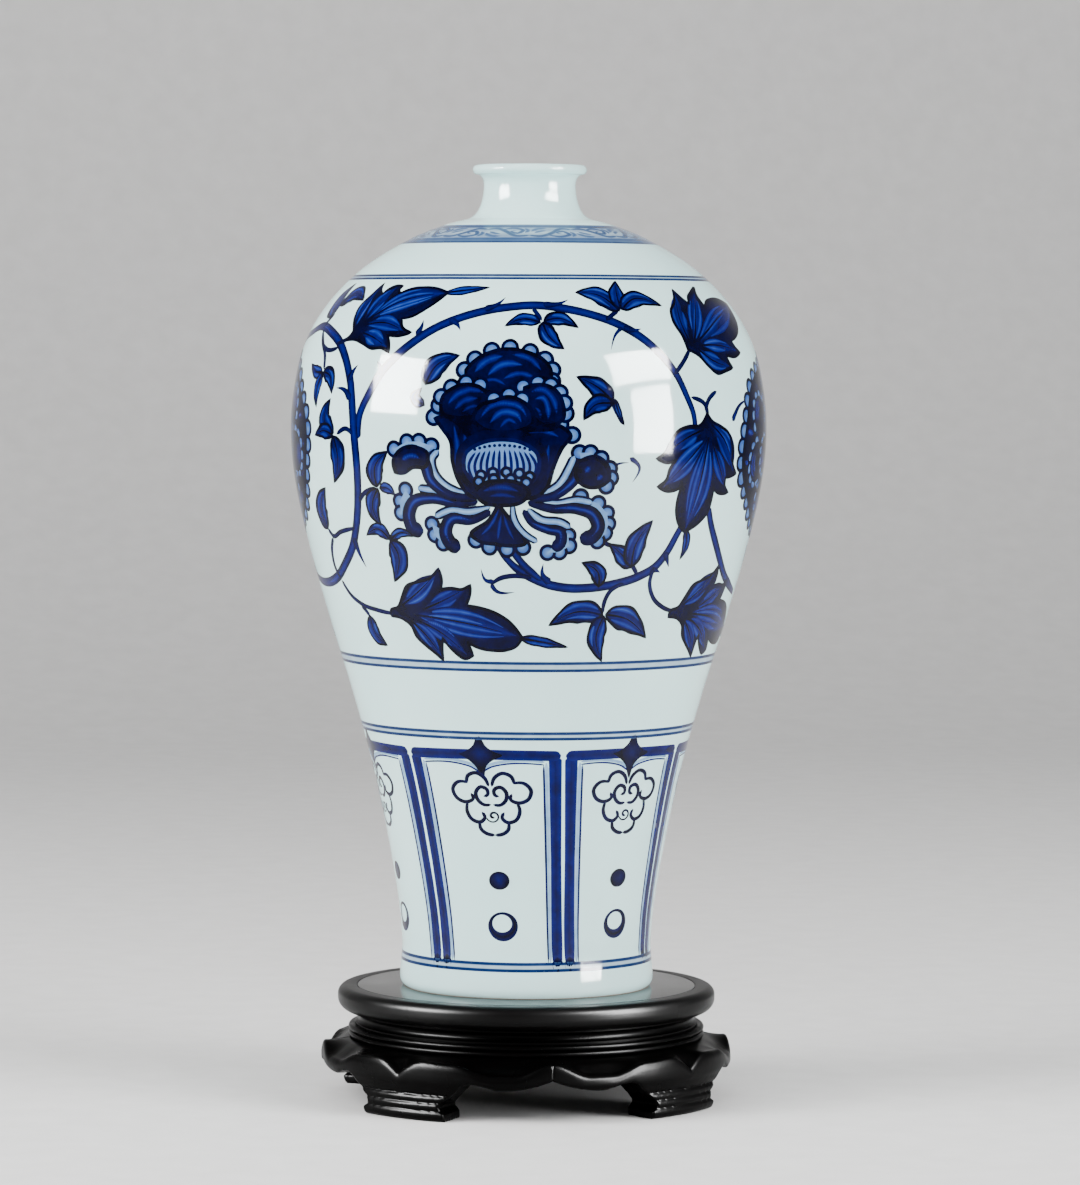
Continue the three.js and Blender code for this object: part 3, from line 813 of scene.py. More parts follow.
# Each ribbon's width, then its dark band, the pale stripe beside it and its frilled end.
RIBBONS = [
    (5.6, [(-9, 194.4), (-14, 190.8), (-19, 191), (-20.6, 186), (-19.6, 181.8), (-17, 179.8)],
     [(-9, 196), (-14, 194), (-19, 194.4), (-23, 191.8)],
     [(-24, 189), (-23.6, 184.8), (-21.6, 181.6)]),
    (5.6, [(-12, 198), (-18, 197.4), (-24, 199), (-28.4, 197.4), (-30.2, 192), (-29.6, 187.6),
           (-26.6, 186.2)],
     [(-13, 199.4), (-20, 201.4), (-27, 202.8)], [(-30.4, 202), (-32.3, 197.6), (-32.4, 193)]),
    (5.6, [(-12, 199.4), (-20, 201.2), (-23.6, 206), (-24.8, 212), (-27.4, 216.4), (-31, 214.6),
           (-32.4, 209)],
     [(-14, 201), (-19.4, 203.4), (-22.6, 209), (-23, 214), (-21.2, 217.2)],
     [(-23, 218.8), (-26.2, 220.4), (-29.4, 220.2), (-33, 217.4)]),
    (4.6, [(-1, 195), (1, 190), (5, 187.4), (8, 186.2), (8, 182), (6, 180.2)],
     [(0, 195.4), (3, 191.2), (8, 190), (10.4, 188)],
     [(10, 185), (10.4, 181), (8, 178.6), (5, 178.4)]),
    (5.6, [(0, 198), (6, 195.4), (12, 195.4), (16, 193), (17.4, 188), (15.6, 184.2), (13, 185)],
     [(1, 199), (7, 197.2), (12, 198.6), (15.6, 197.6)],
     [(12.6, 200), (17, 197.4), (19.4, 193.6), (20, 189.4), (19.4, 185.8), (17.6, 182.8)]),
    (5.6, [(1, 199), (7, 201), (10.6, 206), (12.6, 211.6), (16, 213), (18, 209), (16.4, 205.4)],
     [(3, 201), (7, 204), (9.4, 210), (10.8, 215.4)],
     [(12, 216.6), (14.6, 216.6), (17.2, 214.4), (19.4, 210.6), (19.8, 207), (18.8, 204)]),
]


def peony_ribbons(drawing):
    """The long petals that curl out from under the flower on both sides."""
    for width, dark, light, frill in RIBBONS:
        frilled_ribbon(drawing, dark, light, frill, width)
    for knob in ([(-33, 208.6), (-33.4, 213), (-31, 217.2), (-27, 218.2), (-24, 216), (-24.6, 211),
                  (-28, 210.6), (-30.6, 208.4)],
                 [(11.6, 213), (15.6, 214.6), (18.6, 211.4), (19.4, 206.6), (17, 203.8), (13.6, 204),
                  (11.4, 207)]):
        petal_mass(drawing, knob, 0.95)
    for knob in ([(-31, 213), (-28.6, 215), (-26, 214)], [(13.4, 209), (14.6, 211.6)],
                 [(16.4, 206.4), (17.8, 208.6)]):
        drawing.stroke(knob, 2.6, tone=0.95, middle=0.6, ends=(0.2, 0.2))
    for place in [(-13, 183), (-9.6, 180.4), (-5.2, 179.6), (-1.2, 180.4)]:
        scallop(drawing, place, 2.8)
    petal_mass(drawing, [(-7, 197), (-9.4, 191), (-14, 185), (-12, 182.6), (-8, 181.6), (-4, 181),
                         (-0.6, 182), (-2, 187), (-4.6, 192)], 0.93, [
        (1.5, 0.56, (-7, 195), (-9, 189), (-11.6, 185)),
        (1.5, 0.58, (-6.4, 193), (-7, 187.6), (-7.4, 183.4)),
        (1.3, 0.6, (-5.8, 193), (-4.6, 187), (-3.4, 183.4)),
    ])
    for width, tone, middle in ((3.0, 0.95, None), (1.6, 0.26, 0.08)):
        drawing.stroke([(-3.6, 197), (-3.2, 191), (-1, 186), (2.4, 182.6)], width, tone=tone,
                       middle=middle, ends=(0.6, 0.9))


ROUND_MIDDLE, ROUND_REACH = (-2.0, 218.0), (26, 33)  # a round peony's place and half its size


def round_peony():
    """The peony turned to face out, which fills each side of the vase: frilled petals round a heart."""
    drawing = Drawing(BODY)
    middle = np.array(ROUND_MIDDLE)
    turns = np.radians(np.arange(34) * 360 / 34)
    rim = np.stack([np.cos(turns), np.sin(turns)], 1) * ROUND_REACH
    rim *= (1 + 0.025 * np.sin(turns * 6))[:, None]
    for spoke in rim:
        scallop(drawing, middle + spoke, strands.uniform(2.7, 3.2))
    petal_mass(drawing, (middle + 0.965 * rim).tolist(), 0.97)
    for spoke in rim[::2]:
        far, near = strands.uniform(0.88, 0.93), strands.uniform(0.74, 0.8)
        bend = np.array((spoke[1], -spoke[0])) * strands.uniform(-0.06, 0.06)
        between = (far + near) / 2 * spoke + bend
        drawing.stroke([middle + far * spoke, middle + between, middle + near * spoke], 3.4,
                       tone=0.93, middle=0.58, ends=(0.5, 0.2))
    for ring, count, size in ((0.62, 7, 8.2), (0.3, 4, 7.4)):
        for number in range(count):
            inner_petal(drawing, middle, ring, 360 * number / count + 70 * ring, size)
    drawing.area(arc(drawing.flat([middle])[0], 6.0, 0, 360, 24)[:-1], 0.98)
    spiral(drawing, middle, 20, 1.6, 4.6, 1.3, tone=0.5)
    return drawing


def inner_petal(drawing, middle, ring, degrees, size):
    """One cupped petal of the round peony, frilled on its outer side."""
    turn = math.radians(degrees)
    place = drawing.flat([middle + ring * np.array((math.cos(turn), math.sin(turn))) * ROUND_REACH])[0]
    for edge in arc(place, size, degrees - 95, degrees + 95, 6):
        scallop(drawing, edge / (BODY, 1), 2.6)
    cup = arc(place, size - 0.8, 0, 360, 22)[:-1]
    drawing.area(cup, 0.96)
    drawing.loop(cup, 1.3, 0.99)
    for share, width in ((0.72, 2.6), (0.42, 2.4)):
        line = arc(place, size * share, degrees - 62, degrees + 58, 5) / (BODY, 1)
        drawing.stroke(line.tolist(), width, tone=0.9, middle=0.58, ends=(0.1, 0.1))


def peony():
    """One whole flower, its parts from the back to the front."""
    drawing = Drawing(BODY)
    stem(drawing, [(-7.4, 181), (-5, 175.4), (-0.4, 170)], 2.2)
    stem(drawing, [(-4.6, 181), (-1.6, 174.6), (3.6, 167.6)], 2.4)
    peony_ribbons(drawing)
    peony_sepals(drawing)
    peony_crown(drawing)
    peony_pod(drawing)
    return drawing


HALF_TURN = 180
VINE_LIFT, LEAF_LIFT, FLOWER_LIFT, LINE_LIFT = 0.06, 0.09, 0.12, 0.06


def make_flowers():
    """The upright flowers at the front and the back, and the round ones at the sides."""
    upright = peony().wrapped("painted_peony_1", FLOWER_LIFT)
    place_copy(upright, "painted_peony_3", HALF_TURN)
    aside = round_peony().wrapped("painted_peony_2", FLOWER_LIFT)
    aside.data.transform(Matrix.Rotation(QUARTER, 4, "Z"))
    place_copy(aside, "painted_peony_4", HALF_TURN)


def place_copy(piece, name, turn):
    """The same painting elsewhere round the vase."""
    copy = turned_copy(piece, name, turn)
    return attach(copy, "vase")


# Vines and thorns, each a row of its width and its places.
VINES = [
    (3.2, (-44, 221), (-43.5, 230), (-41, 238), (-38, 246), (-34.5, 252), (-30, 258), (-25, 263.5),
     (-19, 268), (-12, 271.5), (-5, 273.5), (2, 274.3), (9, 273), (16, 270.5), (23, 266.5), (29, 261),
     (34, 254), (38, 246), (40.5, 238), (42.5, 230), (42.8, 224)),
    (3.0, (42, 190), (40, 184), (38, 178), (35, 172.5), (30, 168.5), (24, 166), (17, 164.5), (10, 164.5),
     (3, 167), (-3, 172), (-6, 177)),
    (3.3, (-88, 259), (-78, 262), (-70, 264.5), (-62, 262), (-55, 257), (-51, 251), (-48, 243),
     (-46.5, 235), (-45.5, 225), (-45, 205), (-46, 196), (-48, 187), (-51, 179), (-56, 172), (-61, 167),
     (-66, 164.5), (-72, 163.5), (-80, 164.5), (-88, 168), (-93, 173), (-96.5, 178)),
    (3.0, (50, 195), (52, 189), (56, 181), (61, 173), (65, 168), (72, 163), (80, 159.5)),
]
THORNS = [
    (3.3, (-29.5, 261), (-28.6, 264), (-28.5, 267.4)),
    (3.3, (-21, 267.6), (-18.6, 265.6), (-17.5, 263)),
    (3.3, (-12, 272.4), (-8.8, 274.4), (-6.5, 278)),
    (3.3, (4, 274.6), (8, 275), (11, 277)),
    (3.3, (25, 264.6), (27.6, 263.4), (30, 264)),
    (1.6, (24.6, 264.6), (22.4, 261.6), (20.6, 255.4)),
    (3.3, (-38, 245), (-38.4, 248), (-39.6, 250.4)),
    (3.3, (-48.4, 243), (-47.4, 246.4), (-46, 249)),
    (3.3, (-47.2, 235.6), (-49.6, 239.2), (-53, 240)),
    (3.3, (-49.6, 182.6), (-48.8, 177), (-47, 171)),
    (3.3, (6, 166.4), (3.8, 170), (4, 174)),
]
TWIG = [(1, 168.4), (-4, 169.2), (-7.4, 168), (-9.5, 165.8)]
TWIG_THORNS = [
    (2.2, (-8.6, 167), (-10.8, 167.2), (-12, 171.8)),
    (2.0, (-9.6, 166), (-8.6, 163.6), (-3.4, 162.8)),
    (3.3, (37.4, 178), (38.4, 175), (39.4, 172)),
    (3.3, (33.4, 170.8), (35, 171), (36.8, 170)),
    (1.5, (19.5, 210.6), (21.6, 212.4), (24.2, 212.8)),
    (2.0, (24.4, 214.6), (27, 211), (25.4, 205.4)),
    (2.4, (57, 228), (60.4, 233.4), (66, 236)),
]


def draw_vines(drawing):
    """The vines that ring the flowers, with their thorns, over half the vase."""
    for width, *places in VINES:
        stem(drawing, places, width)
    thorns(drawing, THORNS)
    stem(drawing, TWIG, 2.0)
    thorns(drawing, TWIG_THORNS)


def moved(lobes, turn):
    """Lobes moved round the vase."""
    return [(width, *((at + turn, up) for at, up in rib)) for width, *rib in lobes]


# The leaves at the foot, which come twice, the second time this far to the right.
SECOND_FOOT_LEAF = 84
FOOT_LOBES = [
    (9.6, (-36.6, 156.4), (-31, 161.6), (-24.4, 169.6)), (8, (-30, 155), (-22.6, 159.4), (-16.2, 164.2)),
    (14.6, (-33, 153), (-19, 150.6), (-3, 145.4)), (7.4, (-32.4, 151), (-25, 146), (-17.8, 137.4)),
    (7.4, (-34.4, 150.6), (-30.4, 145.4), (-26, 136.8)), (3.8, (-2, 144.4), (4, 143), (11.6, 140.8)),
]
# Every leaf on half the vase. Each group has its stalks, then its lobes as rows of a width and a rib.
LEAVES = {
    "crest_leaf": ([[(-57, 257), (-53, 259), (-48, 263)]], [
        (7.5, (-51.4, 261.6), (-52.2, 270), (-50.5, 282)), (8.5, (-48.6, 266), (-47, 274), (-43, 283)),
        (14, (-47, 267.6), (-39, 275.4), (-25, 280)), (7.4, (-47.8, 265), (-41, 266.2), (-33.4, 262.6)),
        (7.4, (-47.8, 262), (-43, 260), (-37.6, 256)), (3.8, (-24.6, 280.2), (-19, 281.4), (-11.6, 283)),
    ]),
    "edge_leaf": ([[(-69.5, 264), (-66, 270)]], [
        (10, (-67, 269), (-70, 276), (-68, 285)), (7.6, (-66, 274), (-62, 279.6), (-54.5, 276.5)),
    ]),
    "crown_trefoil": ([[(20.6, 267.6), (22.6, 270), (24.8, 272)]], [
        (8.6, (25, 272), (21, 278.6), (13.6, 280.6)), (7.4, (25.6, 273), (26, 280), (27.4, 286.6)),
        (7, (26, 272.6), (31, 277.6), (39.4, 274.4)),
    ]),
    "arc_trefoil": ([[(1, 273), (2.4, 270), (3.4, 267.4)]], [
        (5, (3, 266.6), (-1.4, 268), (-6, 265)), (5.4, (4, 267), (8, 268.4), (12.6, 264.5)),
        (6.6, (3.6, 266.4), (5, 261), (8.6, 255.8)),
    ]),
    "shoulder_leaf": ([[(37.5, 246), (41, 251), (44, 256)]], [
        (8.4, (44.6, 258), (43.8, 267), (47.4, 280)), (10, (46, 258), (51, 270), (57.4, 281)),
        (13.6, (47.4, 258.6), (60, 268), (76, 274.4)), (7, (47.6, 257.2), (56, 257.2), (65, 254.8)),
        (7.4, (46.6, 256), (52, 251), (58.6, 249)),
    ]),
    "hanging_leaf": ([[(47, 228), (46.6, 234), (42, 237.2)], [(46.4, 232), (47.8, 236), (51.2, 239.4)]], [
        (10.6, (48.4, 226.6), (53.6, 220.6), (58, 209)), (7.6, (48.8, 220), (52, 211), (55.8, 202)),
        (10, (46.8, 222), (40, 212), (34, 203.4)), (8.4, (45.6, 225), (39.6, 221.4), (33, 214.8)),
        (16, (47.4, 222), (45.6, 206), (42.8, 187)), (3.6, (43, 186.6), (44, 181), (42.8, 175)),
    ]),
    "foot_leaf": ([[(-60, 165), (-57, 159.6), (-52, 155.8), (-46, 154), (-38, 152.6)]], FOOT_LOBES),
    "foot_leaf_right": (
        [[(34.6, 172), (34, 166), (36, 160), (40, 156), (46, 154)]],
        moved(FOOT_LOBES, SECOND_FOOT_LEAF)),
    "low_trefoil": ([[(26, 166), (22.4, 163), (21, 158), (21, 154)]], [
        (8.6, (21, 153.4), (14, 155), (6, 149.6)), (9.4, (22, 153.6), (28, 152), (36, 144)),
        (8, (21.4, 153), (19.8, 145), (22.4, 135)),
    ]),
    "left_trefoil": ([[(-45.8, 222.6), (-48, 224.6), (-51.6, 222.4)]], [
        (7.6, (-53, 223), (-57, 228), (-55, 235.6)), (5.6, (-53.4, 222), (-57, 223.6), (-61.4, 221.8)),
        (8.4, (-53, 221.6), (-51.6, 212), (-54, 204)),
    ]),
    "lone_leaf": ([[(-61, 185.6), (-59, 182.8), (-55, 184.6), (-48.6, 186.4)],
                  [(-59.4, 182), (-61.8, 176), (-62, 170), (-60, 165.4)]], [
        (9, (-61.2, 185.6), (-62.6, 193), (-58.6, 201.6)),
    ]),
    "upper_trefoil": ([[(-60, 247), (-61, 252), (-65, 258), (-68, 262.6)],
                      [(-64, 256.6), (-60, 254.6), (-55.6, 255.6)]], [
        (4.8, (-60.6, 246), (-64, 246), (-68, 249)), (5, (-60.4, 245.6), (-62.2, 239), (-61.4, 232.6)),
        (5.8, (-60, 246), (-56.6, 244.6), (-54.8, 238)),
    ]),
    "inner_trio": ([[(-45.2, 197), (-43.4, 200), (-39, 202.4)]], [
        (7.4, (-38.8, 203), (-39, 210), (-35, 216.4)), (3.8, (-38, 202.4), (-36, 202.6), (-33.6, 199.8)),
        (6.6, (-38.6, 202), (-41, 195), (-39, 187.8)),
    ]),
    "inner_trefoil": ([[(-36.4, 181.6), (-37, 183.4)]], [
        (5, (-37, 182.6), (-40, 186.4), (-44.6, 183.8)), (8.6, (-36.8, 182), (-35, 177), (-37.6, 166)),
        (3.6, (-36.6, 182.6), (-33, 185.4), (-29.4, 184)),
    ]),
    "drop_leaf": ([[(-53, 155.4), (-51, 153), (-50, 151)]], [
        (7, (-50, 151.4), (-49.6, 145), (-45.4, 140)),
    ]),
    "peony_leaf": ([], [
        (8, (-25, 242), (-22.6, 249), (-17, 253)), (4, (-25, 234), (-27.6, 237), (-26, 240.4)),
    ]),
    "twin_leaf": ([[(20, 235), (21, 232), (22.6, 227)]], [
        (7, (20, 236), (16.6, 241), (11.6, 245)), (6.4, (20, 235), (16, 234.6), (13, 229)),
        (2, (20.6, 236.6), (21.4, 232), (22.8, 227)),
    ]),
    "sprig": ([[(18.6, 183.4), (20.4, 181.4), (22, 181)], [(29.6, 169.4), (28.4, 172), (27, 174)]], [
        (6.6, (27.6, 172.4), (24, 178), (20.8, 181.6)), (8.6, (27.6, 172.6), (28, 181), (32, 190.4)),
    ]),
    "low_leaf": ([], [
        (6, (19, 165), (18.6, 170), (14, 174.4)),
    ]),
}
# The outlines of the lobed leaves. Each curve runs on from the end of the one before it, and they
# meet at the points and notches.
FOOT_OUTLINE = [
    [(-41, 154), (-38, 155.8), (-36, 160), (-34, 164.2), (-30, 166.2), (-26.4, 167.8), (-23.6, 171.6)],
    [(-23, 167.6), (-23.6, 163.4)], [(-20.4, 164), (-17.6, 163.6), (-15.2, 165.4)],
    [(-15.4, 162), (-16.8, 157.2)], [(-13, 156.4), (-9, 154.6), (-5, 151), (-1.4, 144.6)],
    [(-3, 141.4), (-6, 139.6), (-10, 139.4), (-14.6, 140.6), (-17.4, 142.6)],
    [(-16.6, 140), (-16, 137.2)], [(-18.6, 135.8), (-21.6, 138.4), (-24.8, 144)],
    [(-25.4, 139.4), (-25.6, 135)],
    [(-27.8, 137.6), (-31, 141), (-33.6, 144.6), (-34.4, 148), (-37, 151), (-41, 152)],
]
LEAF_OUTLINES = {
    "crest_leaf": [
        [(-51.6, 262), (-53.4, 268), (-54.2, 273), (-52.2, 279), (-50.2, 285)],
        [(-49.4, 282), (-47.4, 279.4)], [(-46, 282.4), (-44, 283.8), (-41, 283.6)],
        [(-41.4, 281.6), (-40.4, 280)], [(-37, 281.8), (-32.6, 283), (-28, 282.4), (-23.8, 280.2)],
        [(-25.6, 277), (-29, 272.4), (-32.4, 269), (-35.4, 268)], [(-34.6, 264.8), (-31.2, 262)],
        [(-34.6, 260.6), (-38.4, 261)], [(-37.4, 258.6), (-36.6, 254)],
        [(-39, 255.6), (-42.4, 255.4), (-46, 257.4), (-50, 259), (-53.5, 258.6)],
    ],
    "shoulder_leaf": [
        [(42.6, 261), (41.2, 267), (42, 272), (45, 276), (47.8, 282.4)], [(49, 279), (51, 275.4)],
        [(52.6, 278.6), (55.6, 281), (60.4, 284)], [(58.2, 280.6), (58.2, 274)],
        [(61, 276.6), (65, 277.8), (70, 278), (78, 275.4)], [(75, 268), (70, 262.6), (63.4, 259.2)],
        [(64.2, 256.8), (66.4, 254.4)], [(62, 252.6), (58, 253.4)], [(58.6, 251), (60, 248.4)],
        [(56, 247), (52.6, 246.2), (49.6, 249), (46.4, 253.4), (43.2, 255.6)],
    ],
    "hanging_leaf": [
        [(48.6, 228.2), (52, 226), (55.2, 223.4), (57, 218), (57.6, 212), (59.8, 207.8)],
        [(57.4, 206.8), (55.2, 206.4)], [(55.2, 203.6), (57.2, 200.6)],
        [(54.4, 200.2), (52.4, 200.8), (50.8, 202.6)],
        [(50.6, 198), (50, 193.6), (47.4, 189.4), (42.6, 185.8)],
        [(40.4, 188.6), (38.9, 193.6), (38.8, 199), (39.6, 203.6)],
        [(37.4, 202), (35, 201.8), (32.4, 203.6)], [(34.8, 206.4), (35.4, 210), (37.4, 213.8)],
        [(35, 212.6), (31.6, 214.2)],
        [(34.4, 217), (35.6, 220.6), (37.4, 224.4), (40.6, 226.2), (44.4, 226.6), (47, 231)],
    ],
    "foot_leaf": FOOT_OUTLINE,
    "foot_leaf_right": [[(turn + SECOND_FOOT_LEAF, up) for turn, up in curve]
                        for curve in FOOT_OUTLINE],
}


def make_foliage():
    """The vines and leaves of half the vase, and the same again behind."""
    vines = Drawing(BODY)
    draw_vines(vines)
    place_copy(vines.wrapped("painted_vines_front", VINE_LIFT), "painted_vines_back", HALF_TURN)
    for name, (stalks, lobes) in LEAVES.items():
        drawing = Drawing(BODY)
        for places in stalks:
            stem(drawing, places, 1.9)
        if name in LEAF_OUTLINES:
            lobed_leaf(drawing, LEAF_OUTLINES[name], [lobe for lobe in lobes if lobe[0] > TAIL])
            lobes = [lobe for lobe in lobes if lobe[0] < TAIL]
        for width, *rib in lobes:
            leaf(drawing, rib, width, line=1.0 if width > TAIL else 0.7)
        front = drawing.wrapped(f"painted_{name}_front", LEAF_LIFT)
        place_copy(front, f"painted_{name}_back", HALF_TURN)


make_flowers()
make_foliage()


# ---- Bands round the vase ----
RING_COLUMNS = 300
LINE_WIDTH = 1.35
SCROLL_UP = 321.2


def ring_band(name, stops, wobble=0.12):
    """A painted ring. stops are (millimetres up, density) across it, from its lower edge."""
    columns = RING_COLUMNS
    turns = np.linspace(0, 360, columns, endpoint=False)
    waver = sum(np.sin(np.radians(turns * k) + strands.uniform(0, 6)) / k for k in (2, 5, 9))
    ups, densities = np.array(stops, float).T
    rows = [on_vase(turns, up + wobble * waver, LINE_LIFT) for up in ups]
    rows += [on_vase(turns, up + wobble * waver, -SHELL) for up in ups[::-1]]
    faces = []
    for low in range(len(rows)):
        high = (low + 1) % len(rows)
        for i in range(columns):
            j = (i + 1) % columns
            faces.append([row * columns + k for row, k in ((low, i), (low, j), (high, j), (high, i))])
    piece = mesh_object(name, np.vstack(rows), faces, thin_cobalt, smooth_angle=50)
    layer = piece.data.attributes.new("cobalt", "FLOAT", "POINT")
    values = np.repeat([*densities, *densities[::-1]], columns)
    layer.data.foreach_set("value", values.astype(np.float32))
    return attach(piece, "vase")


def double_line(name, low, high):
    """Two thin lines with a pale wash between them."""
    half = LINE_WIDTH / 2
    ring_band(name, [(low - half, 0.8), (low - half / 2, 1), (low + half / 2, 1), (low + half, 0.16),
                     (high - half, 0.16), (high - half / 2, 1), (high + half / 2, 1), (high + half, 0.8)])


# One unit of the scroll: places from its middle, then a stroke's width, densities and ends.
SCROLL_STEP = 24
SCROLL_STROKES = [
    ([(-12.4, 2.8), (-6, 3.6), (0, 0.5), (6, -3.6), (12.4, -2.8)], 2.0, 0.62, 0.86, (0.6, 0.6)),
    ([(-3, 2.4), (3.5, 4), (8.6, 2), (6, -1), (2.2, 0.6), (5, 1.6)], 1.7, 0.6, 0.86, (0.4, 0.2)),
    ([(-11, -0.6), (-7.4, -3.4), (-2, -3.8)], 2.4, 0.45, 0.74, (0.1, 0.1)),
    ([(-9.4, 0.8), (-6.4, -0.9), (-2.6, -1.8)], 1.7, 0.45, 0.75, (0.1, 0.1)),
    ([(9.4, 4.2), (11.4, 1.4), (9.8, -0.6)], 1.9, 0.45, 0.75, (0.1, 0.2)),
]


def shoulder_scroll():
    """The brushed leaf scroll between two grey-blue bands under the neck."""
    drawing = Drawing(SHOULDER)
    for unit in range(360 // SCROLL_STEP):
        at = unit * SCROLL_STEP - 180
        flip = 1 if unit % 2 else -1
        for places, width, tone, middle, ends in SCROLL_STROKES:
            line = [(at + x, SCROLL_UP + flip * rise) for x, rise in places]
            drawing.stroke(line, width, tone=tone, middle=middle, ends=ends)
    drawing.wrapped("painted_shoulder_scroll", LEAF_LIFT, thin_cobalt)
    ring_band("painted_shoulder_band_low", [(311.8, 0.66), (312.5, 0.95), (313.6, 0.62), (315.3, 0.8),
                                            (316.4, 0.5)])
    ring_band("painted_shoulder_band_high", [(325.8, 0.5), (326.8, 0.9), (328.6, 0.66), (329.4, 0.6)])
    ring_band("painted_shoulder_ground", [(316.4, 0.34), (318, 0.4), (321, 0.2), (324, 0.4),
                                          (325.8, 0.3)], wobble=0.05)


# ---- Lappet panels on the slender part ----
PANEL_LEAN = 4.5  # degrees that the painted strokes drift from the top of a panel to its foot
PANEL_TOP, PANEL_FOOT = 97.0, 14.0
PANEL_DRIFTS = [2.4, 0.2, -0.8, 1.2, 0, -0.6]  # degrees that each panel's motifs lie off its middle
PANEL_EDGES = [-46, 12.8, 66.3, 128, 190, 252, 314]  # degrees


def leaned(turn, up):
    """A place on a panel, whose strokes drift sideways on their way down."""
    return turn + PANEL_LEAN * (PANEL_TOP - up) / (PANEL_TOP - PANEL_FOOT), up


def draw_frame(drawing, left, right):
    """The heavy bar and sides of a panel, with a thin line and a wash inside them."""
    for edge, inward in ((left, 1), (right, -1)):
        side = [leaned(edge + inward * 6.1, up) for up in (94, 60, 30, 15)]
        drawing.stroke(side, 1.9, tone=0.02, middle=0.1, ends=(1, 1), step=2.5)
        side = [leaned(edge + inward * 7.1, up) for up in (93.4, 60, 30, 14.6)]
        drawing.stroke(side, 0.85, tone=DEEP, middle=0.9, ends=(0.8, 0.8), step=2.5)
    middle = (left + right) / 2
    for up, width, tone in ((93.3, 0.7, DEEP), (94.4, 1.1, 0.1)):
        dip = [(left + 6.6, up), (middle - 9, up + 0.2), (middle - 4, up - 1), (middle, up - 3),
               (middle + 4, up - 1), (middle + 9, up + 0.2), (right - 6.6, up)]
        drawing.stroke(dip, width, tone=tone, ends=(0.8, 0.8))
    for edge, inward in ((left, 1), (right, -1)):
        side = [leaned(edge + inward * 2.9, up) for up in (97.6, 80, 60, 40, 24, 13)]
        drawing.stroke(side, 4.5, tone=0.74, middle=0.87, swell=[(0, 1), (0.5, 0.92), (0.9, 1.08), (1, 0.9)],
                       step=2.5)
        blot = [leaned(edge + inward * 2.9, up) for up in (17, 14, 11.4)]
        drawing.stroke(blot, 4.8, tone=0.86, middle=0.98, ends=(0.5, 1))
    drawing.stroke([(left + 0.9, 96.8), (middle, 97.2), (right - 0.9, 96.8)], 4.1, tone=0.76, middle=0.87,
                   ends=(1, 1))


def draw_finial(drawing, middle):
    """The small pointed bud on a panel's bar, and its stem down to the cloud."""
    bud = [(-8, 97.2), (-4.6, 98.8), (-2.2, 101), (-0.9, 103.8), (0.2, 104.6), (1, 103.4), (2.2, 100.8),
           (4.8, 98.6), (8, 97), (4.4, 94.8), (2.2, 92.6), (1.4, 89.6), (0.9, 86.8), (-0.2, 88.6),
           (-2, 92.4), (-4.6, 95)]
    edge = closed(drawing, [(middle + x, up) for x, up in bud])
    drawing.area(edge, shaded(drawing.flat([(middle, 97.6)]), np.array([4.5]), 0.8, 0.97))


# Half of a cloud, as places from its middle.
CLOUD_LINE = 1.55
CLOUD_STROKES = [
    [(0.6, 84.4), (2, 88), (5, 89.8), (8, 88.6), (9, 85.4)],
    [(8.4, 85.8), (12.4, 85.9), (15, 83), (13.8, 79.4), (10, 78), (7.2, 79.4), (7.8, 81.6)],
    [(9.6, 78), (10.4, 74.6), (8.6, 71), (5.2, 70.2), (3.4, 72), (4.4, 74.2)],
    [(5.8, 70.2), (5.4, 67.2), (2.8, 65.4), (0, 65.1)],
    [(0.4, 77.2), (3, 77), (5.4, 79), (5.8, 82), (3.6, 84.2), (1.4, 83.2), (1.4, 81), (3, 80.4)],
]


def draw_cloud(drawing, middle):
    """A cloud of curling lobes under the bar."""
    for places in CLOUD_STROKES:
        for side in (1, -1):
            drawing.stroke([leaned(middle + side * x, up) for x, up in places], CLOUD_LINE,
                           tone=0.86, middle=0.98, ends=(0.7, 0.8), step=0.7)
    centre = leaned(middle, 72.6)
    spiral(drawing, centre, 200, 1.25, 2.7, 1.1)


def draw_jewels(drawing, middle):
    """The dot and the ring below the cloud."""
    x, up = drawing.flat([leaned(middle, 47)])[0]
    dot = arc((0, 0), 1, 0, 360, 27)[:-1] * (3.9, 3.3) + (x, up)
    drawing.area(dot, shaded(np.array([[x, up + 0.4]]), np.array([3.8]), 0.74, 0.97))
    drawing.loop(dot, 0.7)
    x, up = drawing.flat([leaned(middle, 29.5)])[0]
    turn = np.radians(np.linspace(80, 446, 60))
    line = np.stack([x + 5.3 * np.cos(turn), up + 4.6 * np.sin(turn)], 1)
    half = 1.15 - 0.5 * np.sin(turn) + 0.2 * np.cos(turn + 0.6)
    drawing.ribbon(line, half, 0.82, middle=0.98)


def make_panels():
    """Six lappet panels of slightly different widths, as a brush would space them."""
    for number, (left, right) in enumerate(zip(PANEL_EDGES, PANEL_EDGES[1:]), 1):
        drawing = Drawing(LOWER)
        middle = (left + right) / 2
        draw_frame(drawing, left, right)
        draw_finial(drawing, middle)
        middle += PANEL_DRIFTS[number - 1]
        draw_cloud(drawing, middle)
        draw_jewels(drawing, middle)
        drawing.wrapped(f"painted_panel_{number}", LINE_LIFT)


def make_bands():
    """The four double lines and the shoulder's bands."""
    double_line("painted_line_shoulder", 288, 289.6)
    double_line("painted_line_middle", 131.4, 134.2)
    double_line("painted_line_low", 103.7, 105.8)
    double_line("painted_line_foot", 11.9, 14.3)
    shoulder_scroll()


make_bands()
make_panels()


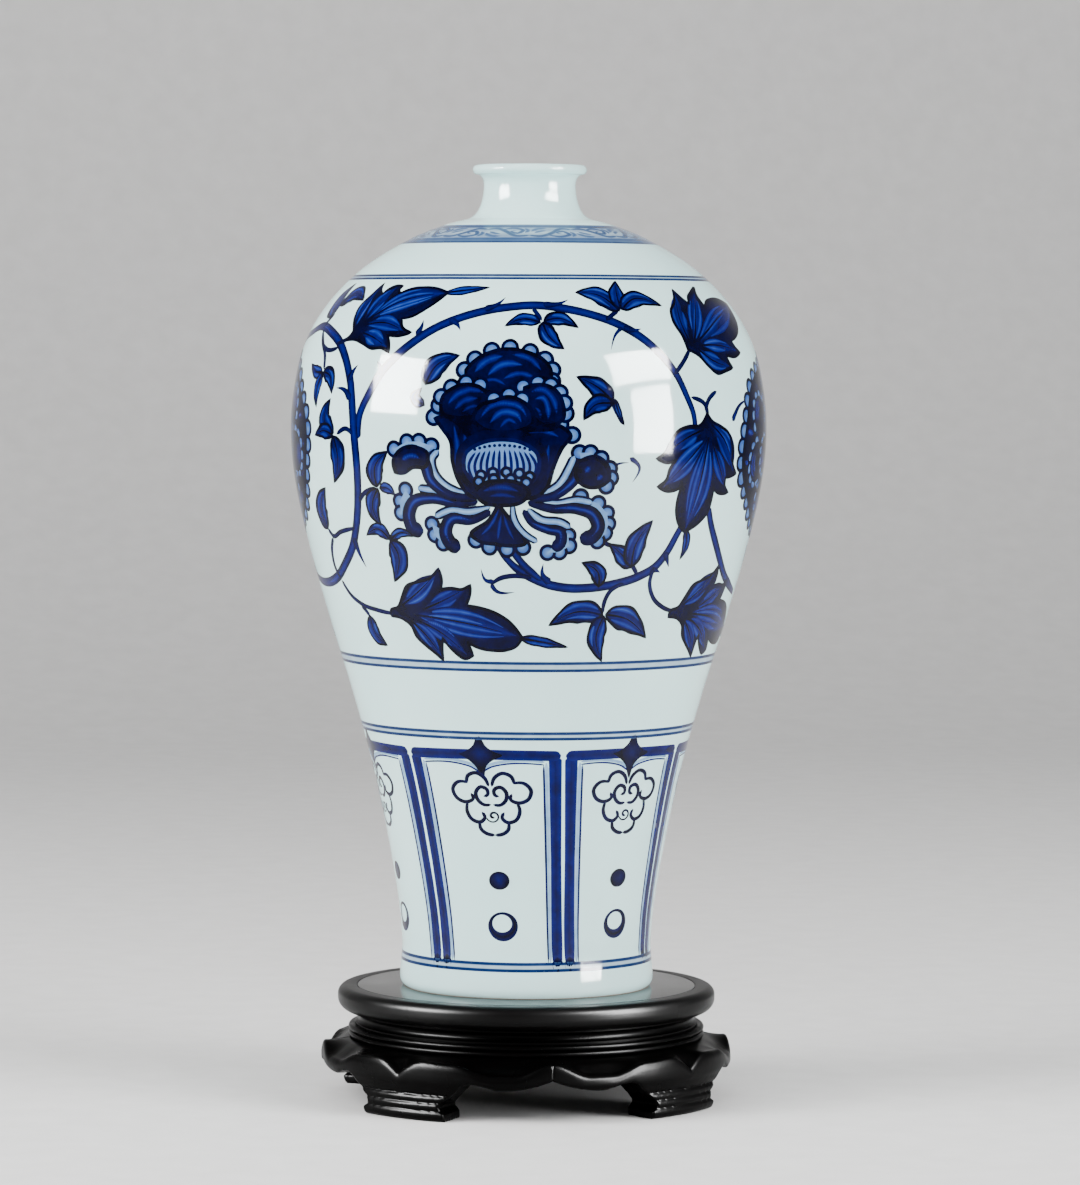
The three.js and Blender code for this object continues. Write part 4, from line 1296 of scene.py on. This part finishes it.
# ---- Stand ----
DISC, RIM_WIDTH, RIM_LEDGE, RIM_ROUND = 73.8, 7.6, 10, 3.4
RIM_BASE, STAND_TOP, BOARD_BASE = 34.4, 44.0, 38.0
BOARD_EDGE = 66.1
WAIST_BASE, WAIST_HEIGHT, WAIST = 29.1, 5.2, 66.5
BEAD_BASE, BEAD_HEIGHT, BEAD = 24.2, 4.8, 69.6
RING_BORE = 54.0
LEG_HEIGHT, BULGE, RIDGE, LEG_BORE, FLANGE = 24.1, 80.3, 78.8, 63.3, 17.7
GLUE = 0.1
BROKEN_EDGE = 0.5
TURNED_STEPS = 160
SCREW_CIRCLE, SCREW_TURN, SCREW_HEAD, SCREW_SHANK = 58.65, -22, 3.3, 1.8


def dress(piece, slot_name, *nodes):
    """Rides a stand piece and lets it stand for its CAD nodes."""
    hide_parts(*nodes)
    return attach(piece, "stand")


def make_board():
    """The flat top board, its edge broken where it meets the rim."""
    edge = arc((BOARD_EDGE - BROKEN_EDGE, STAND_TOP - BROKEN_EDGE), BROKEN_EDGE, 0, 90, 5)
    profile = [(0, BOARD_BASE), (BOARD_EDGE, BOARD_BASE), *edge, (30, STAND_TOP), (0, STAND_TOP)]
    board = lathe("board", profile, TURNED_STEPS, board_wood, smooth_angle=25)
    dress(board, "blackwood_board", "stand_top_board")


def rim_section(_):
    """The rim: a rounded nosing outside, a broken edge at the board, and a ledge under it."""
    low = arc((0, 0), 1, -90, 0, 12) * (5.2, 4.8) + (DISC - 5.2, RIM_BASE + 4.8)
    high = arc((DISC - RIM_ROUND, STAND_TOP - RIM_ROUND), RIM_ROUND, 0, 90, 9)
    inner = DISC - RIM_WIDTH
    groove = arc((inner + BROKEN_EDGE, STAND_TOP - BROKEN_EDGE), BROKEN_EDGE, 90, 180, 4)
    ledge = BOARD_BASE - GLUE
    return [(inner - RIM_LEDGE, RIM_BASE), *low, *high, (inner + 2.5, STAND_TOP), *groove,
            (inner, ledge), (inner - RIM_LEDGE, ledge)]


def make_rim():
    """Four arcs, whose joints lie over the legs."""
    gap = 0.02 / DISC
    for number in range(1, 5):
        start = (number - 0.5) * QUARTER
        piece = sector(f"rim_{number}", rim_section, start + gap, start + QUARTER - gap, 60, rim_wood,
                       smooth_angle=30)
        dress(piece, "blackwood_rim", f"rim_arc_{number}")


def make_waist():
    """The hollowed waist between the rim and the beads."""
    low, high = WAIST_BASE, WAIST_BASE + WAIST_HEIGHT
    hollow = bezier(10, (WAIST + 0.2, low + 0.9), (WAIST - 1.2, low + 1.6), (WAIST - 1.2, high - 1.6),
                    (WAIST + 0.2, high - 0.9))
    profile = [(RING_BORE, low), (WAIST + 0.6, low), (WAIST + 0.6, low + 0.7), (WAIST + 0.2, low + 0.9),
               *hollow, (WAIST + 0.6, high - 0.7), (WAIST + 0.6, high), (RING_BORE, high)]
    waist = lathe("waist", profile, TURNED_STEPS, shaded_waist_wood, smooth_angle=35)
    dress(waist, "blackwood_rim", "waist_ring")


def make_beads():
    """Two half-round beads, one over the other."""
    small = BEAD_HEIGHT / 4
    beads = [arc((BEAD - small, BEAD_BASE + k * small), small, -90, 90, 10) for k in (1, 3)]
    profile = [(RING_BORE, BEAD_BASE), *beads[0], *beads[1][1:], (RING_BORE, BEAD_BASE + BEAD_HEIGHT)]
    turned = lathe("beads", profile, TURNED_STEPS, shaded_waist_wood, smooth_angle=60)
    dress(turned, "blackwood_rim", "bead_ring")


# The carved ridge: share of the way from a leg's middle to the apron's, then share of its height.
RIDGE_SHARES = [(0, 0.75), (0.18, 0.955), (0.38, 0.93), (0.62, 0.77), (0.76, 0.77), (1, 0.97)]
# The opening between legs: share of the way from the apron's middle to the leg's, then of its height.
OPENING_SHARES = [(0, 0.7), (0.09, 0.62), (0.2, 0.555), (0.33, 0.53), (0.44, 0.605), (0.545, 0.615),
                  (0.61, 0.48), (0.68, 0.34), (0.72, 0.225), (0.68, 0.125)]
# A leg's outside: share of its height, then how far it lies inside the bulge.
LEG_OUTSIDE = [(0, 2.8), (0.02, 1.9), (0.08, 1.1), (0.14, 1.1), (0.17, 2.3), (0.2, 1.1), (0.27, 1.1),
               (0.3, 2.3), (0.33, 1.3), (0.39, 1.5), (0.42, 2.8), (0.45, 1.6), (0.5, 1.2), (0.56, 0.8)]
LEG_VOXEL = 0.0006
LEG_STEPS = 90


def ridge_at(share):
    """The ridge's height share, smooth between its knots, with a sharp V over the leg."""
    for (a, low), (b, high) in zip(RIDGE_SHARES, RIDGE_SHARES[1:]):
        if share <= b:
            t = (share - a) / (b - a)
            ease = math.sin(t * math.pi / 2) if a == 0 else t * t * (3 - 2 * t)
            return low + (high - low) * ease
    return RIDGE_SHARES[-1][1]


def leg_section(angle):
    """A leg's section at an angle from its middle: the ridged foot, the bulge and the carved ridge."""
    share = min(1, abs(angle) / (QUARTER / 2))
    ridge = LEG_HEIGHT * ridge_at(share)
    shoulder = min(ridge - 2.6, 0.75 * LEG_HEIGHT)
    swell = [(BULGE - inset, LEG_HEIGHT * rise) for rise, inset in LEG_OUTSIDE]
    face = bezier(6, swell[-1], (BULGE, LEG_HEIGHT * 0.6), (BULGE, shoulder - 1), (BULGE - 0.05, shoulder))
    crest = bezier(5, face[-1], (BULGE - 0.1, ridge - 1.2), (RIDGE + 0.6, ridge), (RIDGE, ridge))
    hollow = bezier(6, (RIDGE, ridge), (RIDGE - 1.4, ridge - 0.5), (BEAD + 3.5, LEG_HEIGHT - 0.5),
                    (BEAD - 0.6, LEG_HEIGHT))
    return [(LEG_BORE, 0), *swell, *face, *crest, *hollow, (RING_BORE, LEG_HEIGHT), (RING_BORE, FLANGE),
            (LEG_BORE, FLANGE)]


def opening_cutter(angle):
    """The opening's outline wrapped round the stand and cut through along the radius."""
    half = catmull([(turn * QUARTER / 2, rise * LEG_HEIGHT) for turn, rise in OPENING_SHARES], 5)
    foot = half[-1][0]
    outline = [(-foot, -1.0), (foot, -1.0), *half[::-1].tolist(), *(half[1:] * (-1, 1)).tolist()]
    count = len(outline)
    points = [(r * math.cos(angle + x), r * math.sin(angle + x), z) for r in (44, 110) for x, z in outline]
    faces = [list(range(count))[::-1], list(range(count, 2 * count))]
    faces += [[j, (j + 1) % count, count + (j + 1) % count, count + j] for j in range(count)]
    return mesh_object("cutter", points, faces)


def screw_cutter():
    """The hole under the flange that the screw's head sits in."""
    place = math.radians(SCREW_TURN)
    low, seat, top = FLANGE - 2, FLANGE + 0.3, FLANGE + 1.9
    profile = [(0, low), (SCREW_HEAD, low), (SCREW_HEAD, seat), (SCREW_SHANK, top), (0, top)]
    piece = lathe("cutter", profile, 24)
    shift = (SCREW_CIRCLE * MM * math.cos(place), SCREW_CIRCLE * MM * math.sin(place), 0)
    piece.data.transform(Matrix.Translation(shift))
    return piece


def cut_away(piece, cutters):
    """Cuts the cutters from a piece, then rounds every edge a little, as carving and polish do."""
    for cutter in cutters:
        hole = piece.modifiers.new("hole", "BOOLEAN")
        hole.operation, hole.solver, hole.object = "DIFFERENCE", "EXACT", cutter
    rounding = piece.modifiers.new("rounding", "REMESH")
    rounding.mode, rounding.voxel_size = "VOXEL", LEG_VOXEL
    polish = piece.modifiers.new("polish", "SMOOTH")
    polish.factor, polish.iterations = 0.5, 2
    graph = bpy.context.evaluated_depsgraph_get()
    carved = bpy.data.meshes.new_from_object(piece.evaluated_get(graph))
    piece.modifiers.clear()
    piece.data = carved
    carved.shade_smooth()
    for cutter in cutters:
        bpy.data.objects.remove(cutter)


def make_legs():
    """One scroll leg with half an apron on each side, and its three copies."""
    end = QUARTER / 2 + 0.2 / BULGE
    first = sector("leg_1", leg_section, -end, end, LEG_STEPS, shaded_leg_wood)
    cut_away(first, [opening_cutter(QUARTER / 2), opening_cutter(-QUARTER / 2), screw_cutter()])
    first.data.transform(Matrix.Rotation(QUARTER / 2, 4, "Z"))
    dress(first, "blackwood_leg", "scroll_leg_1")
    for number in (2, 3, 4):
        copy = turned_copy(first, f"leg_{number}", 90 * (number - 1))
        dress(copy, "blackwood_leg", f"scroll_leg_{number}")


def finish_hardware():
    """The CAD's own dowels and screws, with their edges broken and their own materials."""
    for name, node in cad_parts.items():
        kind = steel if "screw" in name else beech if "dowel" in name else None
        if kind:
            node.data.materials.clear()
            node.data.materials.append(kind)
            edge = node.modifiers.new("edge", "BEVEL")
            edge.width, edge.segments, edge.limit_method = 0.00015, 2, "ANGLE"


make_board()
make_rim()
make_waist()
make_beads()
make_legs()
finish_hardware()


# ---- Studio ----
CAMERA_REACH, CAMERA_ASIDE, CAMERA_HEIGHT = 2046.0, 4.69, 303.47
CAMERA_PITCH, CAMERA_ROLL, CAMERA_LENS = 2.963, 0.255, 159.4


def make_camera():
    """The photograph's viewpoint."""
    turn, pitch = math.radians(FACING), math.radians(CAMERA_PITCH)
    right = Vector((math.cos(turn), math.sin(turn), 0))
    out = Vector((math.sin(turn), -math.cos(turn), 0))
    ahead = -out * math.cos(pitch) - Vector((0, 0, math.sin(pitch)))
    axes = Matrix((right, right.cross(ahead), -ahead)).transposed()
    lens = bpy.data.cameras.new("camera")
    lens.lens, lens.sensor_width = CAMERA_LENS, 36
    camera = bpy.data.objects.new("camera", lens)
    place = (out * CAMERA_REACH + right * CAMERA_ASIDE) * MM
    place.z = CAMERA_HEIGHT * MM
    camera.matrix_world = (Matrix.Translation(place) @ axes.to_4x4()
                           @ Matrix.Rotation(math.radians(CAMERA_ROLL), 4, "Z"))
    bpy.context.scene.collection.objects.link(camera)
    bpy.context.scene.camera = camera


def make_floor():
    """A plain pale floor that sweeps up into a backdrop behind the vase."""
    look = Look("paper_sweep", Roughness=0.85)
    look.colour(look.noise(60, 3), [(0.3, (0.55, 0.54, 0.53)), (0.7, (0.59, 0.58, 0.57))])
    run = [(-4000, 0), (1600, 0), *arc((1600, 900), 900, -90, 0, 16)[1:], (2500, 4200)]
    points = [(x, y, z + TABLE_FLOOR / MM) for x in (-5000, 5000) for y, z in run]
    count = len(run)
    faces = [[i, i + count, i + count + 1, i + 1] for i in range(count - 1)]
    mesh_object("floor", points, faces, look.material)


def softbox(name, azimuth, elevation, reach, size, power, part):
    """A soft area light that gives either the gloss or the surface light of a studio softbox.

    Azimuth is in degrees to the right of the camera.
    """
    turn, rise = math.radians(azimuth + FACING), math.radians(elevation)
    out = Vector((math.sin(turn) * math.cos(rise), -math.cos(turn) * math.cos(rise), math.sin(rise)))
    light = bpy.data.lights.new(name, "AREA")
    light.shape, light.size, light.size_y = "RECTANGLE", size[0], size[1]
    light.energy = power
    lamp = bpy.data.objects.new(name, light)
    lamp.location = Vector((0, 0, 0.24)) + out * reach
    lamp.visible_glossy = part == "gloss"
    lamp.visible_diffuse = part == "surface"
    lamp.rotation_mode = "QUATERNION"
    lamp.rotation_quaternion = out.to_track_quat("Z", "Y")
    bpy.context.scene.collection.objects.link(lamp)


# Each light's name, azimuth, elevation, reach, size, power and part.
SOFTBOXES = [
    ("card_left", -67, 17, 1.6, (0.74, 0.56), 540, "gloss"),
    ("card_right", 58, 25, 1.6, (0.88, 0.42), 430, "gloss"),
    ("card_right_low", 61, 4.5, 1.6, (0.6, 0.62), 410, "gloss"),
    ("light_left", -62, 32, 1.6, (1.0, 0.9), 38, "surface"),
    ("light_right", 58, 26, 1.6, (0.9, 0.9), 24, "surface"),
    ("light_top", -10, 78, 2.0, (1.6, 1.6), 17, "surface"),
    ("light_front", -15, 32, 2.6, (1.6, 1.0), 26, "surface"),
]


def make_lights():
    """Three cards that show in the glaze, four broad lights that don't, and a dim even surround."""
    for row in SOFTBOXES:
        softbox(*row)
    world = bpy.data.worlds.new("surround")
    world.use_nodes = True
    background = world.node_tree.nodes["Background"]
    background.inputs["Color"].default_value = (0.86, 0.9, 0.95, 1)
    background.inputs["Strength"].default_value = 0.3
    bpy.context.scene.world = world


make_camera()
make_floor()
make_lights()
